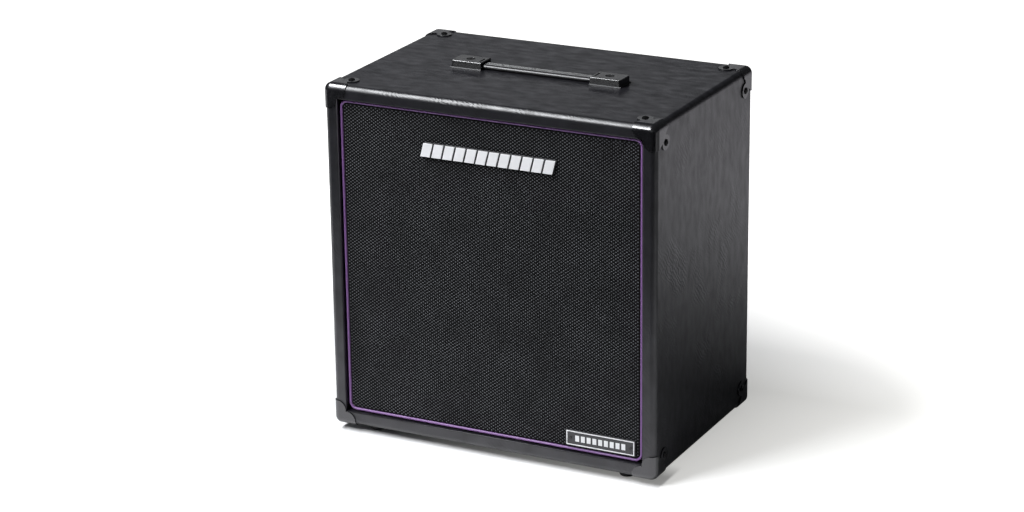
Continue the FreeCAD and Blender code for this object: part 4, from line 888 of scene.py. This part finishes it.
def glow_for_camera(finish, across, depth):
    """Glow that whitens the floor, less in the shadow beside the cabinet and least under its front."""
    away = distance_from_cabinet(finish, across, depth)
    aside = finish.math("SUBTRACT", across, finish.math("MULTIPLY", depth, SHADE_LEAN))
    under_start = cad_low.y + UNDER_REACH
    under = finish.span(depth, under_start, under_start + UNDER_REACH, UNDER_LOSS, 0.0)
    under = finish.math("MULTIPLY", under, finish.span(away, 0.0, UNDER_EDGE, 1.0, 0.0))
    near = finish.span(aside, SHADE_START, SHADE_END, 0.0, NEAR_GLOW)
    near = finish.math("MULTIPLY", near, finish.math("SUBTRACT", 1.0, under))
    far = finish.span(away, FAR_START, FAR_END, 0.0, FAR_GLOW)
    return finish.math("ADD", near, far)


def glow_in_mirrors(finish, depth):
    """Glow behind the cabinet and close before it, which its glossy faces show."""
    behind = finish.span(depth, BEHIND_START, BEHIND_END, 0.0, BEHIND_GLOW)
    before = finish.span(depth, BOUNCE_FRONT, FRONT_NEAR, 0.0, FRONT_GLOW)
    before = finish.math("MULTIPLY", before, finish.math("LESS_THAN", depth, cad_low.y))
    return finish.math("ADD", before, behind)


def pale_paper():
    """Matt paper that looks whiter to the camera away from the cabinet, so that only its shadow shows."""
    finish = Finish("pale_paper", roughness=1.0, specular=0.0)
    parts = finish.node("ShaderNodeSeparateXYZ")
    finish.link(finish.place, parts.inputs[0])
    across = parts.outputs["X"]
    depth = parts.outputs["Y"]
    rays = finish.node("ShaderNodeLightPath").outputs
    finish.colour(paper_brightness(finish, depth, rays), NO_COLOUR, PAPER_COLOUR)
    seen = finish.math("MULTIPLY", glow_for_camera(finish, across, depth), rays["Is Camera Ray"])
    mirrored = finish.math("MULTIPLY", glow_in_mirrors(finish, depth), rays["Is Glossy Ray"])
    tint = finish.mixed(rays["Is Camera Ray"], MIRROR_TINT, SHADE_TINT)
    finish.link(tint, finish.surface.inputs["Emission Color"])
    finish.link(finish.math("ADD", seen, mirrored), finish.surface.inputs["Emission Strength"])
    return finish.material


def make_floor():
    form = bmesh.new()
    bmesh.ops.create_grid(form, x_segments=1, y_segments=1, size=FLOOR_SIZE / 2)
    mesh = mesh_of(form, "studio_floor")
    mesh.materials.append(pale_paper())
    floor = bpy.data.objects.new("studio_floor", mesh)
    bpy.context.collection.objects.link(floor)


def make_lamps():
    for name, place, target, tall, width, height, watts in LAMPS:
        data = bpy.data.lights.new(name, "AREA")
        data.shape = "RECTANGLE"
        data.size = width
        data.size_y = height
        data.energy = watts
        data.color = LAMP_COLOUR
        lamp = bpy.data.objects.new(name, data)
        back = (Vector(place) - Vector(target)).normalized()
        across = Vector(tall).cross(back).normalized()
        turn = Matrix((across, back.cross(across), back)).transposed().to_4x4()
        lamp.matrix_world = Matrix.Translation(place) @ turn
        bpy.context.collection.objects.link(lamp)


def make_backdrop():
    """A dim room for the light, and white behind the cabinet for the camera."""
    world = bpy.data.worlds.new("studio")
    bpy.context.scene.world = world
    world.use_nodes = True
    nodes = world.node_tree.nodes
    links = world.node_tree.links
    room = nodes["Background"]
    room.inputs["Color"].default_value = ROOM_COLOUR
    room.inputs["Strength"].default_value = ROOM_STRENGTH
    white = nodes.new("ShaderNodeBackground")
    white.inputs["Color"].default_value = BACKDROP_COLOUR
    path = nodes.new("ShaderNodeLightPath")
    choice = nodes.new("ShaderNodeMixShader")
    links.new(path.outputs["Is Camera Ray"], choice.inputs["Fac"])
    links.new(room.outputs[0], choice.inputs[1])
    links.new(white.outputs[0], choice.inputs[2])
    links.new(choice.outputs[0], nodes["World Output"].inputs["Surface"])


# Covering, whose edges are rounded where it turns in round the openings

COVER_ROUND = 1.4 * MM
BACK_VINYL_ROUND = 0.8 * MM
OPENING_REACH = 8 * MM


def make_covering():
    low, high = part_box("vinyl_covering")
    middle_z = (low.z + high.z) / 2
    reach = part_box("grille_cloth")[1].x + OPENING_REACH

    def opening_edge(edge):
        ends = [vertex.co for vertex in edge.verts]
        on_face = any(all(abs(end.y - face) < ON_PLANE for end in ends) for face in (low.y, high.y))
        inside = all(max(abs(end.x), abs(end.z - middle_z)) < reach for end in ends)
        return on_face and inside

    softened("vinyl_covering", VINYL, COVER_ROUND, opening_edge, segments=3)
    softened("back_panel_vinyl", VINYL, BACK_VINYL_ROUND)


# Corner protectors, with a screw in each ear

CORNER_ROUND = 0.5 * MM
EAR_INSET = 26 * MM
SCREW_SINK = 0.2 * MM
CORNER_SCREW_RADIUS = 4.2 * MM
CORNER_SCREW_RISE = 2.2 * MM
CORNER_SCREW_DOME = 1.2 * MM


def box_corner(box, sides):
    """The corner of a box on the given side of each axis."""
    return Vector([high if side > 0 else low for low, high, side in zip(*box, sides)])


def corner_screw_places():
    """The screw of each ear, two on every corner protector, and the way that it faces."""
    places = []
    for sides in itertools.product((-1, 1), repeat=3):
        outward = Vector(sides)
        face = box_corner(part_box("corner_screws"), outward)
        ear = box_corner(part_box("vinyl_covering"), outward) - EAR_INSET * outward
        places.append((Vector((ear.x, ear.y, face.z)), Vector((0, 0, outward.z))))
        places.append((Vector((face.x, ear.y, ear.z)), Vector((outward.x, 0, 0))))
    return places


def make_corners():
    for depth, level, hand in itertools.product(("front", "back"), ("top", "bottom"), SIDE_OF_HAND):
        softened(f"corner_{depth}_{level}_{hand}", CORNER_PLASTIC, CORNER_ROUND)
    screws(
        "corner_screw_heads",
        "corner_screws",
        [(place - direction * SCREW_SINK, direction) for place, direction in corner_screw_places()],
        radius=CORNER_SCREW_RADIUS,
        height=SCREW_SINK + CORNER_SCREW_RISE,
        dome=CORNER_SCREW_DOME,
    )


# Handle caps, with a soft skirt and a screw in a well

CAP_ROUND = 0.5 * MM
RECESS_INSET = 2.5 * MM
RECESS_DEPTH = 1.2 * MM
RECESS_LIP = 0.12 * MM
SKIRT_REACH = 1.5 * MM
SKIRT_END = 0.3
SKIRT_STEPS = 5
HANDLE_SCREW_RADIUS = 4.5 * MM
HANDLE_SCREW_HEAD = 2.2 * MM
HANDLE_SCREW_DOME = 0.05 * MM


def make_cap(hand):
    """A handle cap, with the groove and the screw well in its top painted near black as painted shade."""
    low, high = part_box(f"handle_cap_{hand}")
    cap = softened(f"handle_cap_{hand}", CAP_PLASTIC, CAP_ROUND)
    cap.data.materials.append(PAINTED_SHADE_BLACK)
    for face in cap.data.polygons:
        middle = face.center
        inside_x = low.x + RECESS_INSET < middle.x < high.x - RECESS_INSET
        inside_y = low.y + RECESS_INSET < middle.y < high.y - RECESS_INSET
        # Faces inside the groove and the screw well get the near black of painted shade.
        if inside_x and inside_y and high.z - RECESS_DEPTH < middle.z < high.z - RECESS_LIP:
            face.material_index = 1


def make_cap_skirt(hand, side):
    """The rounded lip round the foot of a handle cap, open at the mouth."""
    low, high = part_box(f"handle_cap_{hand}")
    mouth, end = (low.x, high.x) if side > 0 else (high.x, low.x)
    profile = [(0.0, 0.0)]
    for index in range(SKIRT_STEPS + 1):
        angle = math.pi / 2 * index / SKIRT_STEPS
        profile.append((SKIRT_REACH * math.cos(angle), SKIRT_REACH * math.sin(angle)))
    form = bmesh.new()
    rings = []
    for out, up in profile:
        corners = (
            (mouth, low.y - out),
            (end + side * SKIRT_END * out, low.y - out),
            (end + side * SKIRT_END * out, high.y + out),
            (mouth, high.y + out),
        )
        rings.append([form.verts.new((x, y, low.z + up)) for x, y in corners])
    for before, after in zip(rings, rings[1:] + rings[:1]):
        for index in range(len(before) - 1):
            form.faces.new((before[index], before[index + 1], after[index + 1], after[index]))
    form.faces.new([ring[0] for ring in rings])
    form.faces.new([ring[-1] for ring in rings])
    bmesh.ops.recalc_face_normals(form, faces=form.faces)
    name = f"cap_skirt_{hand}"
    piece = new_piece(name, mesh_of(form, name), CAP_GASKET)
    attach(piece, "cabinet")


def make_handle():
    for hand, side in SIDE_OF_HAND.items():
        make_cap(hand)
        make_cap_skirt(hand, side)
    low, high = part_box("handle_screws")
    seat = high.z - HANDLE_SCREW_HEAD
    columns = (low.x + HANDLE_SCREW_RADIUS, high.x - HANDLE_SCREW_RADIUS)
    screws(
        "handle_screw_heads",
        "handle_screws",
        [(Vector((x, 0, seat)), Vector((0, 0, 1))) for x in columns],
        radius=HANDLE_SCREW_RADIUS,
        height=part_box("handle_cap_right")[1].z - SCREW_SINK - seat,
        dome=HANDLE_SCREW_DOME,
    )
    make_strap()


# Badges, jack plate and feet

BADGE_ROUND = 0.4 * MM
BARS_ROUND = 0.3 * MM
MARKS_ROUND = 0.12 * MM
PLATE_ROUND = 0.4 * MM
JACK_ROUND = 0.3 * MM
FOOT_ROUND = 0.8 * MM
JACK_SCREW_RADIUS = 3.2 * MM
JACK_SCREW_HEIGHT = 1.8 * MM
JACK_SCREW_DOME = 0.8 * MM


def make_badges():
    softened("upper_badge", BADGE_PLASTIC, BADGE_ROUND)
    plate = softened("lower_badge", BADGE_PLASTIC, BADGE_ROUND)
    plate.data.materials.append(PAINTED_SHADE_BLACK)
    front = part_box("lower_badge_marks")[1].y - ON_PLANE
    # Faces of the lower badge in front of the marks' seat get the near black of painted shade.
    for face in plate.data.polygons:
        if face.center.y < front:
            face.material_index = 1
    softened("upper_badge_bars", ENAMEL, BARS_ROUND)
    softened("lower_badge_marks", ENAMEL, MARKS_ROUND)


def make_back():
    softened("jack_plate", BASKET_PAINT, PLATE_ROUND)
    softened("jack_nuts", CHROME, JACK_ROUND)
    softened("jack_sockets", JACK_PLASTIC, JACK_ROUND)
    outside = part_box("jack_plate")[1].y
    low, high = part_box("jack_plate_screws")
    columns = (low.x + JACK_SCREW_RADIUS, high.x - JACK_SCREW_RADIUS)
    rows = (low.z + JACK_SCREW_RADIUS, high.z - JACK_SCREW_RADIUS)
    screws(
        "jack_screw_heads",
        "jack_plate_screws",
        [(Vector((x, outside, z)), Vector((0, 1, 0))) for x in columns for z in rows],
        radius=JACK_SCREW_RADIUS,
        height=JACK_SCREW_HEIGHT,
        dome=JACK_SCREW_DOME,
    )


def make_feet():
    softened("rubber_feet", FOOT_RUBBER, FOOT_ROUND)


# Soft pieces of the speaker, between the basket and the cone

FLEX_SECTORS = 12


def flexing_ring(node):
    """A ring cut into sectors, each a piece of its own in the finish of the CAD node."""
    low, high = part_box(node)
    middle = (low + high) / 2
    source = frame["nodes"][node].data
    half = math.pi / FLEX_SECTORS
    slot = slot_of_node[node]
    for index in range(FLEX_SECTORS):
        turn = 2 * half * index
        form = bmesh.new()
        form.from_mesh(source)
        for side in (-1, 1):
            edge = turn + side * half
            outward = side * Vector((-math.sin(edge), 0, math.cos(edge)))
            parts = form.verts[:] + form.edges[:] + form.faces[:]
            bmesh.ops.bisect_plane(form, geom=parts, plane_co=middle, plane_no=outward, clear_outer=True)
        name = f"{node}_{index}"
        piece = new_piece(name, mesh_of(form, name), SLOT_FINISH[slot])
        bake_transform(piece)
        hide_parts(node)


def make_leads():
    """A copy of the leads in their finish, in place of the CAD node."""
    slot = slot_of_node["tinsel_leads"]
    mesh = frame["nodes"]["tinsel_leads"].data.copy()
    piece = new_piece("tinsel_leads_flexed", mesh, SLOT_FINISH[slot])
    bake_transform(piece)
    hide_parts("tinsel_leads")


def make_speaker():
    flexing_ring("speaker_surround")
    flexing_ring("speaker_spider")
    make_leads()


# Putting the cabinet together

make_camera()
dress_frame()
make_covering()
make_grille()
make_piping()
make_corners()
make_badges()
make_handle()
make_back()
make_speaker()
make_feet()
make_floor()
make_lamps()
make_backdrop()
bpy.context.scene.view_settings.view_transform = "Standard"
